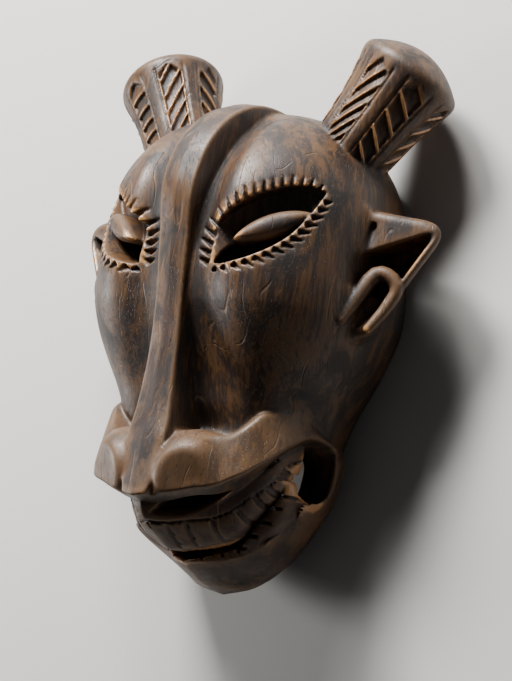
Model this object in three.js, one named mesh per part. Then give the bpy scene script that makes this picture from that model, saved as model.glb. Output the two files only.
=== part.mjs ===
// Buffalo mask, carved from one block of wood and hollowed out at the back.
// It lies face up on its flat rim: X runs across the face, Y up to the horns, Z out of the face.
// Sizes are millimetres, and heights on the face are counted from the level of the inner eye corners.
import * as THREE from 'three';

// Main dimensions of the head.
const SKULL_CENTRE = [0, 52, 58];
const SKULL_HALF = [118, 118, 114];
const SKULL_SQUARENESS = 2.5;
const CHEEK_TOP = [0, 10, 56, 108];
const CHEEK_LOW = [0, -105, 54, 78];

// Hollow at the back: least wall, dome over the wearer's face, cheeks and chin.
const WALL = 11;
const HOLLOW_DOME_CENTRE = [0, 48, 40];
const HOLLOW_DOME_HALF = [101, 98, 96];
const HOLLOW_TOP = [0, 10, 38, 88];
const HOLLOW_LOW = [0, -92, 34, 57];
const HOLLOW_CHIN_CENTRE = [0, -112, 26];
const HOLLOW_CHIN_HALF = [44, 58, 54];

// Ridge from the crown down to the nose tip: its height above the rim and its half width, by height.
const RIDGE_HEIGHT = [[-145, 168], [-120, 164], [-96, 162], [-72, 158], [-40, 156.5], [4, 157.5], [53, 162]];
const RIDGE_HALF = [[-140, 10], [-120, 15], [-96, 17.5], [-70, 15.5], [-40, 13.5], [0, 12.5], [50, 13.5],
  [100, 15.5], [176, 15]];
// Over the crown the ridge is a radius about the skull's centre, by angle from straight out.
const CROWN_RADIUS = [[-5, 103], [1, 104], [23, 116.5], [50, 124.2], [70, 125], [90, 122], [115, 118]];
const CROWN_END = 115;
const VALLEY_OFFSET = 20;
const VALLEY_DEPTH = [[-100, 0], [-92, 12], [-60, 17], [0, 20], [60, 20], [120, 16], [150, 10], [176, 4]];
const VALLEY_SPREAD = [[-90, 26], [20, 30], [60, 20], [160, 17]];

// Muzzle: front profile on the middle line, how far it falls back to each side, and its half width.
const FRONT_PROFILE = [[-200, 30], [-197, 50], [-193, 68], [-188, 79], [-180, 95], [-171, 114], [-163, 131],
  [-155, 145], [-138, 156], [-120, 158], [-60, 158]];
const FALL_BACK = [[0, 0], [10, 6], [20, 18], [30, 31], [40, 42], [50, 51], [60, 60], [70, 72], [80, 92],
  [88, 112]];
const JAW_HALF = [[-197.5, 2], [-193, 19], [-185, 35], [-175, 47], [-164, 57], [-149, 67], [-127, 80],
  [-109, 87], [-93, 88.5], [-75, 88], [-60, 87], [-40, 84]];
const WIDEST_LEVEL = 41;
const JAW_TOP = -86;
const JAW_BACK = 2;
const CORNER_RISE = [[0, 0], [60, 0], [82, 14], [95, 40], [110, 60]];
const ROOF_SLOPE = 0.3;
const MUZZLE_HALF = 89;
const MUZZLE_DEPTH = 118;
const MUZZLE_SQUARENESS = 2.6;
// Upper and lower edge of the lip band, by angle from straight out to the side.
const BAND_TOP = [[0, -84], [26, -88], [31, -86], [34, -82], [38, -75], [42, -68], [47, -64], [54, -61],
  [62, -61], [73, -68], [90, -80], [180, -80]];
const BAND_LOW = [[0, -139], [12, -134], [20, -129], [29, -124], [33, -119], [38, -113], [45, -103],
  [55, -89], [64, -80], [90, -80]];
// The cheek steps back above the band's edge on the side, and comes forward again further up.
const BAND_STEP = 3.4;
const BAND_STEP_FADE = 14;
const BAND_STEP_STARTS = [40, 56];
const BAND_STEP_ENDS = [70, 84];
const BAND_REACH = [[0, 121], [29, 118], [45, 112], [64, 102], [90, 92]];
const LOBE_CENTRE = [28, -118, 129];
const LOBE_HALF = [32, 34, 38];
const LOBE_PLANES = [[0.9, 0.243, 0.4, 79.2, 3], [0.45, -0.2, 0.87, 176.4, 5]];

// Mouth: gum line, biting edges and the lip under the lower teeth, by distance from the middle line.
const GUM = [[0, -154], [12, -153.5], [23, -150], [35, -146], [48.5, -136.4], [56.3, -127],
  [62, -120], [67, -111], [70, -101], [75, -92]];
const BITE_UP = [[0, -172], [20, -167], [37, -159.5], [49, -150.5], [57, -140], [61, -134],
  [64.5, -128], [68.5, -119], [71, -112], [73, -102], [76, -94]];
const BITE_LOW = [[0, -177], [10, -174.3], [24, -168.2], [40, -160.2], [51, -150.5], [58, -140.5],
  [64, -130.5], [68, -119.5], [70.5, -111.5], [72, -112], [74, -120], [77, -137], [79, -147]];
const LIP_LOW = [[0, -178.5], [17, -176], [32, -171.5], [51, -163], [65, -151.5], [74, -138],
  [80, -125], [85, -122], [90, -121]];
const GUM_DEPTH = 14;
const ROW_INSET = 12;
const ROW_DEPTH = 20;
const TOOTH_CUT = 1.1;
const TOOTH_RELIEF = 2;
// How far the lower row sinks back from lip to biting edge, and the least height it does so over.
const LOWER_ROW_SINK = [[0, 7], [25, 6.5], [45, 5], [60, 4.5], [80, 4]];
const LEAST_RISE = 8;
// The row stands on the mouth's floor, and its end stands free of it.
const LOWER_ROW_BASE = [40, 66];
const LOWER_ROW_TIP = [-130, -118];
const LOWER_ROW_DEPTH = 10;
// Floor of the mouth at the corners, and the deeper throat within its walls.
const MOUTH_FLOOR = 41;
const THROAT_FLOOR = 15;
const THROAT_HALF = 55;
const THROAT_WALL = 14;
const BITE_REACH = 72;
const UPPER_TEETH = [0, 12, 22, 35, 48.5, 57.3, 63, 68];
const LOWER_TEETH = [0, 13, 25, 36];
const LOWER_GAP_LEVELS = [-163.2, -153.9, -143.4, -132.4, -122.7];
const NOSTRIL_INNER = new THREE.Vector3(6, -150, 150);
const NOSTRIL_OUTER = new THREE.Vector3(54, -128, 118);
const NOSTRIL_HALF = 9;
const NOSTRIL_FACING = new THREE.Vector3(0.45, -0.65, 0.6);
const NOSTRIL_DEPTH = 28;
const SEPTUM_HALF = 4;

// Eyes: inner and outer corner, lids' heights and the eyeball's pod.
const EYE_INNER = new THREE.Vector3(30, 30, 160);
const EYE_OUTER = new THREE.Vector3(100, 90, 112);
const EYE_FACING = new THREE.Vector3(0.55, 0, 0.83);
const UPPER_LID = [[-52, -2], [-41, 11.6], [-30, 21], [-7, 26.8], [16, 24.6], [37, 18.4], [48, 11],
  [52, 5.5]];
const LOWER_LID = [[-52, -2], [-44, -2.5], [-36, -6.3], [-26, -9.8], [-15, -12], [0, -12.8],
  [13, -11.4], [26, -7.3], [39, -1.6], [47, 2.5], [52, 5.5]];
const SOCKET_DEPTH = [[-45, 2], [-20, 8], [10, 9], [45, 4]];
const POD_HALF = 31;
const POD_MIDDLE = [7, 1.5];
const POD_TILT = -0.19;
const POD_WIDTH = 9;
const POD_HEIGHT = 10;
const SLIT_TOP = [[-44, -1], [-32, 4.5], [-20, 5.5], [-5, 3], [10, -3], [24, -8]];
const SLIT_ENDS = [-43, 24];
const SLIT_RIM = 1.2;

// Horns: foot, direction, radius along the axis and the carved strips around them.
const HORN_FOOT = new THREE.Vector3(79, 142, 61);
const HORN_AXIS = new THREE.Vector3(0.49, 0.85, -0.19).normalize();
const HORN_RADIUS = [[-60, 22], [-20, 27], [0, 31], [35, 35], [65, 41], [80, 44]];
const HORN_LENGTH = 70;
const HORN_DOME = 20;
const HORN_TOP_RADIUS = 44;
const STRIP_COUNT = 7;
const STRIP_FIRST = [89, 72];
const STRIP_HALF = 15;
const NOTCH_STEP = 13;
const NOTCH_SLANT = 6.5;
const NOTCH_DEPTH = 4;
const LINE_DEPTH = 1.6;

// Ears: planes around the leaf and the cup, each with its rounding, the lines beside the leaf and
// the raised rib in the cup.
const EAR_PLANES = [[0.12, 1, 0, 104.6, 0], [0.814, -0.581, -0.65, 53.7, 20], [0.36, 0, 1, 124.3, 8],
  [0, 0, -1, -34, 10], [0, -1, 0, 6, 8], [-1, 0, 0, -96, 6]];
const CUP_PLANES = [[-0.42, 1, 0, 9.4, 0], [0.814, -0.581, -0.65, 46.7, 8], [-0.2, -1, 0, -52, 6],
  [0, 0, -1, -50, 6], [-1, 0, 0, -112, 6]];
const EAR_GROOVE = [[119, 78, 80, 2.5], [119, 52, 88, 4.5], [117, 30, 96, 4.5], [113, 9, 103, 1.5]];
const EAR_CHANNEL = [[130, 36, 72, 7], [124, 20, 78, 7], [117, 5, 84, 3]];
const EAR_RIB = [[110, 6, 94, 4.5], [116, 24, 86, 5.5], [123, 41, 78, 6], [132, 43, 74, 5.5],
  [140, 34, 71, 5], [134, 18, 74, 4.5], [125, 2, 80, 3.5]];

// Rounding where two forms meet, from a wide fillet to a crisp edge.
const WIDE = 28;
const SOFT = 10;
const ROUNDED = 6;
const EASED = 3;
const CRISP = 2;

// Mesh: cell of the sampling grid, the box it covers and how many triangles are kept.
const CELL = 2.4;
const BLOCK = 8;
const NEAR_SURFACE = 1.65;
const FIELD_LOW = [-175.2, -206.4, -3.6];
const FIELD_HIGH = [175.2, 240, 180];
const KEPT_TRIANGLES = 9600;
// Merging edges: pull toward where points were, least turn of a face and least doubled area.
const STAY_PUT = 1e-4;
const LEAST_TURN = 0.25;
const LEAST_AREA = 0.02;

// Joins two forms with a fillet of about the blend width, or with a sharp line where it is zero.
function join(a, b, blend = 0) {
  if (blend === 0) return Math.min(a, b);
  const h = THREE.MathUtils.clamp(0.5 + 0.5 * (b - a) / blend, 0, 1);
  return b + (a - b) * h - blend * h * (1 - h);
}

// Keeps only what two forms share, with the shared edge rounded by the blend width.
function shared(a, b, blend = 0) {
  return -join(-a, -b, blend);
}

// Takes the second form away from the first.
function cut(a, b, blend = 0) {
  return shared(a, -b, blend);
}

// A smooth line through [place, value] pairs: cubic between them, level beyond both ends.
function smoothLine(pairs) {
  const last = pairs.length - 1;
  const slope = pairs.map((pair, i) => {
    const before = pairs[Math.max(i - 1, 0)];
    const after = pairs[Math.min(i + 1, last)];
    const left = i > 0 ? (pair[1] - before[1]) / (pair[0] - before[0]) : 0;
    const right = i < last ? (after[1] - pair[1]) / (after[0] - pair[0]) : 0;
    if (i === 0) return right;
    if (i === last) return left;
    return (left * (after[0] - pair[0]) + right * (pair[0] - before[0])) / (after[0] - before[0]);
  });
  return (place) => {
    if (place <= pairs[0][0]) return pairs[0][1];
    if (place >= pairs[last][0]) return pairs[last][1];
    let i = 0;
    while (place > pairs[i + 1][0]) i += 1;
    const width = pairs[i + 1][0] - pairs[i][0];
    const u = (place - pairs[i][0]) / width;
    const v = 1 - u;
    return v * v * ((1 + 2 * u) * pairs[i][1] + u * width * slope[i])
      + u * u * ((1 + 2 * v) * pairs[i + 1][1] - v * width * slope[i + 1]);
  };
}

// Rises from 0 to 1 between two places.
function ramp(from, to, place) {
  return THREE.MathUtils.smoothstep(place, from, to);
}

// Round bar whose radius runs evenly from one end to the other.
function taperedBar(x, y, z, a, b, radiusA, radiusB) {
  const dx = b[0] - a[0];
  const dy = b[1] - a[1];
  const dz = b[2] - a[2];
  const along = ((x - a[0]) * dx + (y - a[1]) * dy + (z - a[2]) * dz) / (dx * dx + dy * dy + dz * dz);
  const t = THREE.MathUtils.clamp(along, 0, 1);
  const reach = Math.hypot(x - a[0] - t * dx, y - a[1] - t * dy, z - a[2] - t * dz);
  return reach - (radiusA + (radiusB - radiusA) * t);
}

// Round bar bent through a few [x, y, z, radius] stations, smoothed by a curve.
function bentBar(stations, pieces) {
  const path = new THREE.CatmullRomCurve3(stations.map((s) => new THREE.Vector3(s[0], s[1], s[2])));
  const radius = smoothLine(stations.map((s, i) => [i / (stations.length - 1), s[3]]));
  const places = Array.from({ length: pieces + 1 }, (_, i) => i / pieces);
  const points = places.map((t) => path.getPoint(t).toArray());
  const radii = places.map(radius);
  return (x, y, z) => {
    let nearest = Infinity;
    for (let i = 0; i < pieces; i += 1) {
      nearest = Math.min(nearest, taperedBar(x, y, z, points[i], points[i + 1], radii[i], radii[i + 1]));
    }
    return nearest;
  };
}

function ellipsoid(x, y, z, centre, half) {
  const px = (x - centre[0]) / half[0];
  const py = (y - centre[1]) / half[1];
  const pz = (z - centre[2]) / half[2];
  const size = Math.hypot(px, py, pz);
  return size * (size - 1) / Math.max(Math.hypot(px / half[0], py / half[1], pz / half[2]), 1e-6);
}

// Boxy dome of the skull: a rounded square seen from the front, an ellipse from the side.
function squareDome(x, y, z, centre, half) {
  const flat = (x / half[0]) ** SKULL_SQUARENESS + Math.abs((y - centre[1]) / half[1]) ** SKULL_SQUARENESS;
  const deep = (z - centre[2]) / half[2];
  const size = Math.sqrt(flat ** (2 / SKULL_SQUARENESS) + deep * deep + 1e-9);
  return (size - 1) * (half[0] + half[1] + half[2]) / 3;
}

function head(x, y, z) {
  const skull = squareDome(x, y, z, SKULL_CENTRE, SKULL_HALF);
  const cheeks = taperedBar(x, y, z, CHEEK_TOP, CHEEK_LOW, CHEEK_TOP[3], CHEEK_LOW[3]);
  return join(skull, cheeks, WIDE);
}

const valleyDepth = smoothLine(VALLEY_DEPTH);
const valleySpread = smoothLine(VALLEY_SPREAD);

// The hollow that the ridge stands in, as a depth to take off the face.
function valley(x, y, z) {
  const u = Math.max(x - VALLEY_OFFSET, 0) / valleySpread(y);
  return valleyDepth(y) * Math.exp(-u * u) * ramp(70, 110, z);
}

const ridgeHeight = smoothLine(RIDGE_HEIGHT);
const ridgeHalf = smoothLine(RIDGE_HALF);
const crownRadius = smoothLine(CROWN_RADIUS);
const RIDGE_FALL = 0.14;

// Straight band from nose to brow, bent over the crown, with a faint line down its middle.
function ridge(x, y, z) {
  let top;
  if (y > SKULL_CENTRE[1] + 1) {
    const up = y - SKULL_CENTRE[1];
    const out = z - SKULL_CENTRE[2];
    const angle = THREE.MathUtils.radToDeg(Math.atan2(up, out));
    top = Math.hypot(up, out) - crownRadius(angle) + RIDGE_FALL * x;
    if (angle > CROWN_END) top = Math.max(top, (angle - CROWN_END) * 1.5);
  } else {
    const slope = (ridgeHeight(y + 1) - ridgeHeight(y - 1)) / 2;
    top = (z - ridgeHeight(y) + RIDGE_FALL * x) / Math.hypot(1, slope);
  }
  return shared(shared(x - ridgeHalf(y), top, 2.5), -155 - y, 3);
}

const frontProfile = smoothLine(FRONT_PROFILE);
const fallBack = smoothLine(FALL_BACK);
const jawHalf = smoothLine(JAW_HALF);

// Front of jaw and teeth: the profile on the middle line, falling back to the sides like a prow.
function prow(x, y) {
  return frontProfile(y) - fallBack(x);
}

// Side of the muzzle and jaw, drawn in again below its widest level.
function muzzleSide(x, y, z) {
  const half = Math.max(jawHalf(y), 1);
  const below = Math.min(z - WIDEST_LEVEL, 0) / (0.57 * half);
  return (Math.hypot(x / half, below) - 1) * half * 0.8;
}

const bandTop = smoothLine(BAND_TOP);
const bandLow = smoothLine(BAND_LOW);
const bandReach = smoothLine(BAND_REACH);

function angleToSide(x, z) {
  return THREE.MathUtils.radToDeg(Math.atan2(x, z - WIDEST_LEVEL));
}

// Block of nose and upper lip: a boxy section that flares toward its lower edge.
function muzzle(x, y, z) {
  const angle = angleToSide(x, z);
  const top = bandTop(angle);
  const low = bandLow(angle);
  const flare = 1 - 0.07 * THREE.MathUtils.clamp((y - low) / (top - low), -0.5, 1.3);
  const across = (x / (MUZZLE_HALF * flare)) ** MUZZLE_SQUARENESS;
  const out = (Math.max(z - WIDEST_LEVEL, 0) / (MUZZLE_DEPTH * flare)) ** MUZZLE_SQUARENESS;
  const section = ((across + out) ** (1 / MUZZLE_SQUARENESS) - 1) * 100;
  return shared(shared(section, (y - top) * 0.85, 5), muzzleSide(x, y, z), 6);
}

// What lies inside every plane of a list: direction, offset and rounding toward those before it.
function insidePlanes(x, y, z, planes) {
  let inside = -Infinity;
  for (const [a, b, c, offset, rounding] of planes) {
    const side = (a * x + b * y + c * z - offset) / Math.hypot(a, b, c);
    inside = inside === -Infinity ? side : shared(inside, side, rounding);
  }
  return inside;
}

// Swelling over the nostril, with a flat face and a flat flank toward the lip band.
function noseLobe(x, y, z) {
  const flats = insidePlanes(x, y, z, LOBE_PLANES);
  return shared(ellipsoid(x, y, z, LOBE_CENTRE, LOBE_HALF), flats, EASED);
}

// Space under the nose and the lip band: everything below this slanting roof.
function underRoof(x, y, z) {
  const angle = angleToSide(x, z);
  const inward = Math.max(0, bandReach(angle) - Math.hypot(x, z - WIDEST_LEVEL));
  return (y - bandLow(angle) + ROOF_SLOPE * inward) * 0.9;
}

// Bowl of the lower jaw, behind the front profile.
function bowl(x, y, z) {
  return shared(muzzleSide(x, y, z), (z - prow(x, y) + JAW_BACK) * 0.5, 8);
}

function jaw(x, y, z) {
  return shared(bowl(x, y, z), y - JAW_TOP, SOFT);
}

const cornerRise = smoothLine(CORNER_RISE);

// Air in front of the jaw, under the nose.
function beforeJaw(x, y, z) {
  const front = prow(x, y) - JAW_BACK + cornerRise(x) * ramp(-150, -105, y);
  return shared(underRoof(x, y, z), (front - z) * 0.5, EASED);
}

const gumLine = smoothLine(GUM);
const upperBite = smoothLine(BITE_UP);
const lowerBite = smoothLine(BITE_LOW);
const lowerLip = smoothLine(LIP_LOW);
const lowerSink = smoothLine(LOWER_ROW_SINK);

// Open space of the mouth, between the roof and the lower lip: a floor, and a deeper throat in it.
function mouth(x, y, z) {
  const open = shared(underRoof(x, y, z), lowerLip(x) - y, CRISP);
  const walls = Math.max(muzzleSide(x, y, z) + THROAT_WALL, x - THROAT_HALF);
  const throat = shared(walls, (THROAT_FLOOR - z) * 0.7, EASED);
  return shared(open, join(throat, (MOUTH_FLOOR - z) * 0.7, EASED), SOFT);
}

// Cuts between the upper teeth, leaning outward more toward the corner, and the line along the gum.
function upperToothCuts(x, y) {
  let nearest = Infinity;
  for (const place of UPPER_TEETH) {
    const lean = THREE.MathUtils.clamp(0.026 * (place - 35), -0.2, 0.3);
    nearest = Math.min(nearest, Math.abs(x - place - lean * (gumLine(x) - y)) - TOOTH_CUT);
  }
  nearest = shared(nearest, y - gumLine(x) + 1, 1);
  return Math.min(nearest, Math.abs(y - gumLine(x)) - 0.7);
}

// Takes shallow cuts out of the front of a row of teeth.
function carve(row, cuts, front) {
  return Math.max(row, -Math.max(cuts, -(front + TOOTH_RELIEF)));
}

// Upper row: a curved plate hanging from the gum, open behind.
function upperTeeth(x, y, z) {
  const face = prow(x, y);
  const front = shared((z - face) * 0.55, muzzleSide(x, y, z) + ROW_INSET, SOFT);
  let row = shared(front, upperBite(x) - y, CRISP);
  row = shared(row, y - gumLine(x) - GUM_DEPTH, EASED);
  row = shared(row, (face - ROW_DEPTH - z) * 0.55, EASED);
  return carve(row, upperToothCuts(x, y), front);
}

// Cuts between the lower teeth: upright in front, level round the corner, in the upper part only.
function lowerToothCuts(x, y, start) {
  let upright = Infinity;
  for (const place of LOWER_TEETH) upright = Math.min(upright, Math.abs(x - place) - TOOTH_CUT);
  let level = Infinity;
  for (const place of LOWER_GAP_LEVELS) level = Math.min(level, Math.abs(y - place) - TOOTH_CUT);
  level = shared(level, LOWER_TEETH[LOWER_TEETH.length - 1] - x, 1);
  return shared(Math.min(upright, level), start - y, 1);
}

// Lower row: a ledge on the lip that sinks back toward its biting edge.
function lowerTeeth(x, y, z) {
  const lip = lowerLip(x);
  const height = lowerBite(x) - lip;
  const rise = THREE.MathUtils.clamp((y - lip) / Math.max(height, LEAST_RISE), 0, 1.2);
  const front = bowl(x, y, z) + lowerSink(x) * rise;
  let row = shared(front, y - lowerBite(x), CRISP);
  row = shared(row, lip - 8 - y, CRISP);
  const [low, high] = LOWER_ROW_BASE;
  const base = low + (high - low) * ramp(LOWER_ROW_TIP[0], LOWER_ROW_TIP[1], y);
  row = shared(row, base - z, EASED);
  row = shared(row, -LOWER_ROW_DEPTH - front, EASED);
  return carve(row, lowerToothCuts(x, y, lip + 0.4 * height), front);
}

// The gap between the rows, open right through into the hollow.
function biteGap(x, y, z) {
  const gap = shared(y - upperBite(x) - 0.5, lowerBite(x) - 0.5 - y, 1.5);
  return Math.max(shared(gap, x - BITE_REACH, EASED), MOUTH_FLOOR - z);
}

// Coordinates in a frame given by an origin and three unit directions.
function inFrame(x, y, z, frame) {
  const px = x - frame.origin.x;
  const py = y - frame.origin.y;
  const pz = z - frame.origin.z;
  return [frame.along, frame.across, frame.out].map((d) => px * d.x + py * d.y + pz * d.z);
}

// Frame halfway between two points, its first direction from one to the other.
function frameBetween(from, to, facing) {
  const along = to.clone().sub(from).normalize();
  const across = facing.clone().cross(along).normalize();
  const out = along.clone().cross(across);
  return { origin: from.clone().lerp(to, 0.5), along, across, out, reach: from.distanceTo(to) / 2 };
}

const nostrilFrame = frameBetween(NOSTRIL_INNER, NOSTRIL_OUTER, NOSTRIL_FACING);

// Almond hole under the nose.
function nostril(x, y, z) {
  const [s, t, q] = inFrame(x, y, z, nostrilFrame);
  const half = NOSTRIL_HALF * Math.max(1 - (s / nostrilFrame.reach) ** 2, 0);
  const almond = shared(Math.abs(t) - half, Math.abs(s) - nostrilFrame.reach, 1);
  return shared(shared(almond, Math.abs(q) - NOSTRIL_DEPTH, CRISP), SEPTUM_HALF - x, CRISP);
}

const eyeFrame = frameBetween(EYE_INNER, EYE_OUTER, EYE_FACING);
const socketDepth = smoothLine(SOCKET_DEPTH);

const upperLid = smoothLine(UPPER_LID);
const lowerLid = smoothLine(LOWER_LID);
const slitTop = smoothLine(SLIT_TOP);

// Sunk almond between the lids.
function eyeSocket(s, t, q) {
  const lids = shared(t - upperLid(s), lowerLid(s) - t, CRISP) * 0.85;
  return shared(shared(lids, Math.abs(s) - eyeFrame.reach, 1), -socketDepth(s) - q, EASED);
}

// Raised almond of the eyeball, turned a little against the eye's own line.
function eyePod(s, t, q) {
  const right = s - POD_MIDDLE[0];
  const above = t - POD_MIDDLE[1];
  const along = right + POD_TILT * above;
  const up = above - POD_TILT * right;
  const half = POD_WIDTH * Math.max(1 - (along / POD_HALF) ** 2, 0) ** 0.8;
  const top = POD_HEIGHT * Math.sqrt(Math.max(1 - (along / (POD_HALF + 3)) ** 2, 0));
  const edge = up / Math.max(half, 0.3);
  const front = (q - top * Math.sqrt(Math.max(1 - 0.75 * edge * edge, 0))) * 0.8;
  const pod = shared(front, (Math.abs(up) - half) * 0.8, EASED);
  return shared(pod, Math.abs(along) - POD_HALF, 1);
}

// Half moon below the eyeball, cut right through for the wearer to see.
function eyeSlit(s, t, q) {
  const gap = shared(t - slitTop(s), lowerLid(s) + SLIT_RIM - t, 1);
  const ends = Math.max(SLIT_ENDS[0] - s, s - SLIT_ENDS[1]);
  return shared(shared(gap, ends, 1), Math.abs(q + 15) - 40, CRISP);
}

const hornSide = HORN_AXIS.clone().cross(new THREE.Vector3(0, 0, 1)).normalize();
const hornFace = hornSide.clone().cross(HORN_AXIS);
const hornFrame = { origin: HORN_FOOT, along: HORN_AXIS, across: hornSide, out: hornFace };
const hornRadius = smoothLine(HORN_RADIUS);

// Short flared horn with a domed end, carved with strips of slanting notches between smooth ones.
function horn(x, y, z, firstStrip) {
  const [t, u, v] = inFrame(x, y, z, hornFrame);
  const radius = Math.hypot(u, v);
  const end = HORN_LENGTH + HORN_DOME * (1 - (radius / HORN_TOP_RADIUS) ** 2);
  const plain = shared(radius - hornRadius(t), (t - end) * 0.8, 5) * 0.95;
  if (Math.abs(plain) > 12) return plain;
  const turn = (firstStrip - THREE.MathUtils.radToDeg(Math.atan2(v, u)) + 720) / 360 * STRIP_COUNT;
  const strip = Math.floor(turn + 0.5);
  const lateral = (turn - strip) * 360 / STRIP_COUNT / STRIP_HALF;
  const beside = Math.abs(lateral);
  const slant = (strip % 2 === 0 ? -1 : 1) * NOTCH_SLANT;
  const top = HORN_LENGTH - 6 - 9 * beside;
  const inside = (1 - ramp(0.82, 1, beside)) * ramp(-14, -8, t) * (1 - ramp(-2, 2, t - top));
  const phase = (t + slant * lateral) / NOTCH_STEP;
  const notch = ramp(0.3, 0.6, Math.abs(phase - Math.floor(phase) - 0.5) * 2);
  const border = (beside - 1.14) * STRIP_HALF * 0.7;
  const line = Math.exp(-border * border) * (1 - ramp(-2, 4, t - top - 8));
  const depth = NOTCH_DEPTH * inside * notch + LINE_DEPTH * line;
  return plain + depth * Math.exp(-Math.abs(plain) / 8);
}

const earGroove = bentBar(EAR_GROOVE, 6);
const earChannel = bentBar(EAR_CHANNEL, 4);
const earRib = bentBar(EAR_RIB, 14);

// Room for the wearer's face: dome, cheeks and chin, each inside the wall.
function hollow(x, y, z) {
  const dome = squareDome(x, y, z, HOLLOW_DOME_CENTRE, HOLLOW_DOME_HALF);
  const cheeks = taperedBar(x, y, z, HOLLOW_TOP, HOLLOW_LOW, HOLLOW_TOP[3], HOLLOW_LOW[3]);
  const chin = ellipsoid(x, y, z, HOLLOW_CHIN_CENTRE, HOLLOW_CHIN_HALF);
  return join(join(dome, cheeks, 20), chin, 20);
}

function withMuzzle(wood, x, y, z) {
  const angle = angleToSide(x, z);
  const above = Math.max(y - bandTop(angle), 0);
  const started = ramp(BAND_STEP_STARTS[0], BAND_STEP_STARTS[1], angle);
  const onSide = started * (1 - ramp(BAND_STEP_ENDS[0], BAND_STEP_ENDS[1], angle));
  const cheek = wood + BAND_STEP * onSide * Math.exp(-above / BAND_STEP_FADE);
  const shaped = join(join(cheek, jaw(x, y, z), SOFT), muzzle(x, y, z), 2.5);
  return join(shaped, noseLobe(x, y, z), 2.5);
}

function withMouth(wood, x, y, z) {
  let shaped = cut(wood, beforeJaw(x, y, z), CRISP);
  shaped = cut(shaped, mouth(x, y, z), CRISP);
  shaped = join(join(shaped, upperTeeth(x, y, z), 1), lowerTeeth(x, y, z), 1);
  return cut(shaped, nostril(x, y, z), 1.5);
}

function withEar(wood, x, y, z) {
  let shaped = join(wood, insidePlanes(x, y, z, EAR_PLANES), ROUNDED);
  shaped = cut(shaped, insidePlanes(x, y, z, CUP_PLANES), CRISP);
  shaped = cut(shaped, join(earGroove(x, y, z), earChannel(x, y, z)), CRISP);
  return join(shaped, earRib(x, y, z), 1.5);
}

function withEye(wood, x, y, z) {
  const [s, t, q] = inFrame(x, y, z, eyeFrame);
  const sunk = cut(cut(wood, eyeSocket(s, t, q), CRISP), eyeSlit(s, t, q), 1);
  return join(sunk, eyePod(s, t, q), 1);
}

// Distance from a point to the surface of the whole mask, negative in the wood.
function mask(sideways, y, z) {
  const x = Math.hypot(sideways, 0.2);
  const atMouth = y < -20;
  let wood = head(x, y, z) + valley(x, y, z);
  if (atMouth) wood = withMuzzle(wood, x, y, z);
  wood = join(wood, ridge(x, y, z), CRISP);
  const walled = shared(hollow(x, y, z), wood + WALL, 8);
  if (atMouth) wood = withMouth(wood, x, y, z);
  if (y > 60) wood = join(wood, horn(x, y, z, STRIP_FIRST[sideways < 0 ? 1 : 0]), EASED);
  if (x > 70) wood = withEar(wood, x, y, z);
  if (y > 0 && z > 30) wood = withEye(wood, x, y, z);
  wood = cut(wood, walled, 4);
  if (atMouth) wood = cut(wood, biteGap(x, y, z));
  return Math.max(wood, -z);
}

// Samples the field on a grid, finely only in the blocks that the surface can pass through.
function sampleField(field, low, high, cell, block) {
  const blocks = low.map((l, axis) => Math.ceil((high[axis] - l) / cell / block));
  const size = blocks.map((n) => n * block + 1);
  const values = new Float32Array(size[0] * size[1] * size[2]);
  const span = block * cell;
  const forEachPoint = (corner, visit) => {
    for (let k = 0; k <= block; k += 1) {
      for (let j = 0; j <= block; j += 1) {
        for (let i = 0; i <= block; i += 1) {
          const [x, y, z] = [corner[0] * block + i, corner[1] * block + j, corner[2] * block + k];
          visit((z * size[1] + y) * size[0] + x, low[0] + x * cell, low[1] + y * cell, low[2] + z * cell);
        }
      }
    }
  };
  const nearSurface = [];
  for (let bz = 0; bz < blocks[2]; bz += 1) {
    for (let by = 0; by < blocks[1]; by += 1) {
      for (let bx = 0; bx < blocks[0]; bx += 1) {
        const corner = [bx, by, bz];
        const centre = field(...corner.map((n, axis) => low[axis] + (n + 0.5) * span));
        if (Math.abs(centre) < span * NEAR_SURFACE) nearSurface.push(corner);
        else forEachPoint(corner, (index) => { values[index] = centre; });
      }
    }
  }
  for (const corner of nearSurface) {
    forEachPoint(corner, (index, x, y, z) => { values[index] = field(x, y, z); });
  }
  return { values, size };
}

// Six tetrahedra share each cell's long diagonal, so neighbouring cells meet without gaps.
const CELL_CORNERS = [[0, 0, 0], [1, 0, 0], [0, 1, 0], [1, 1, 0], [0, 0, 1], [1, 0, 1], [0, 1, 1], [1, 1, 1]];
const TETRAHEDRA = [[0, 1, 3, 7], [0, 3, 2, 7], [0, 2, 6, 7], [0, 6, 4, 7], [0, 4, 5, 7], [0, 5, 1, 7]];

function isOddOrder(order) {
  let swaps = 0;
  order.forEach((value, m) => { swaps += order.slice(m + 1).filter((later) => later < value).length; });
  return swaps % 2 === 1;
}

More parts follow.
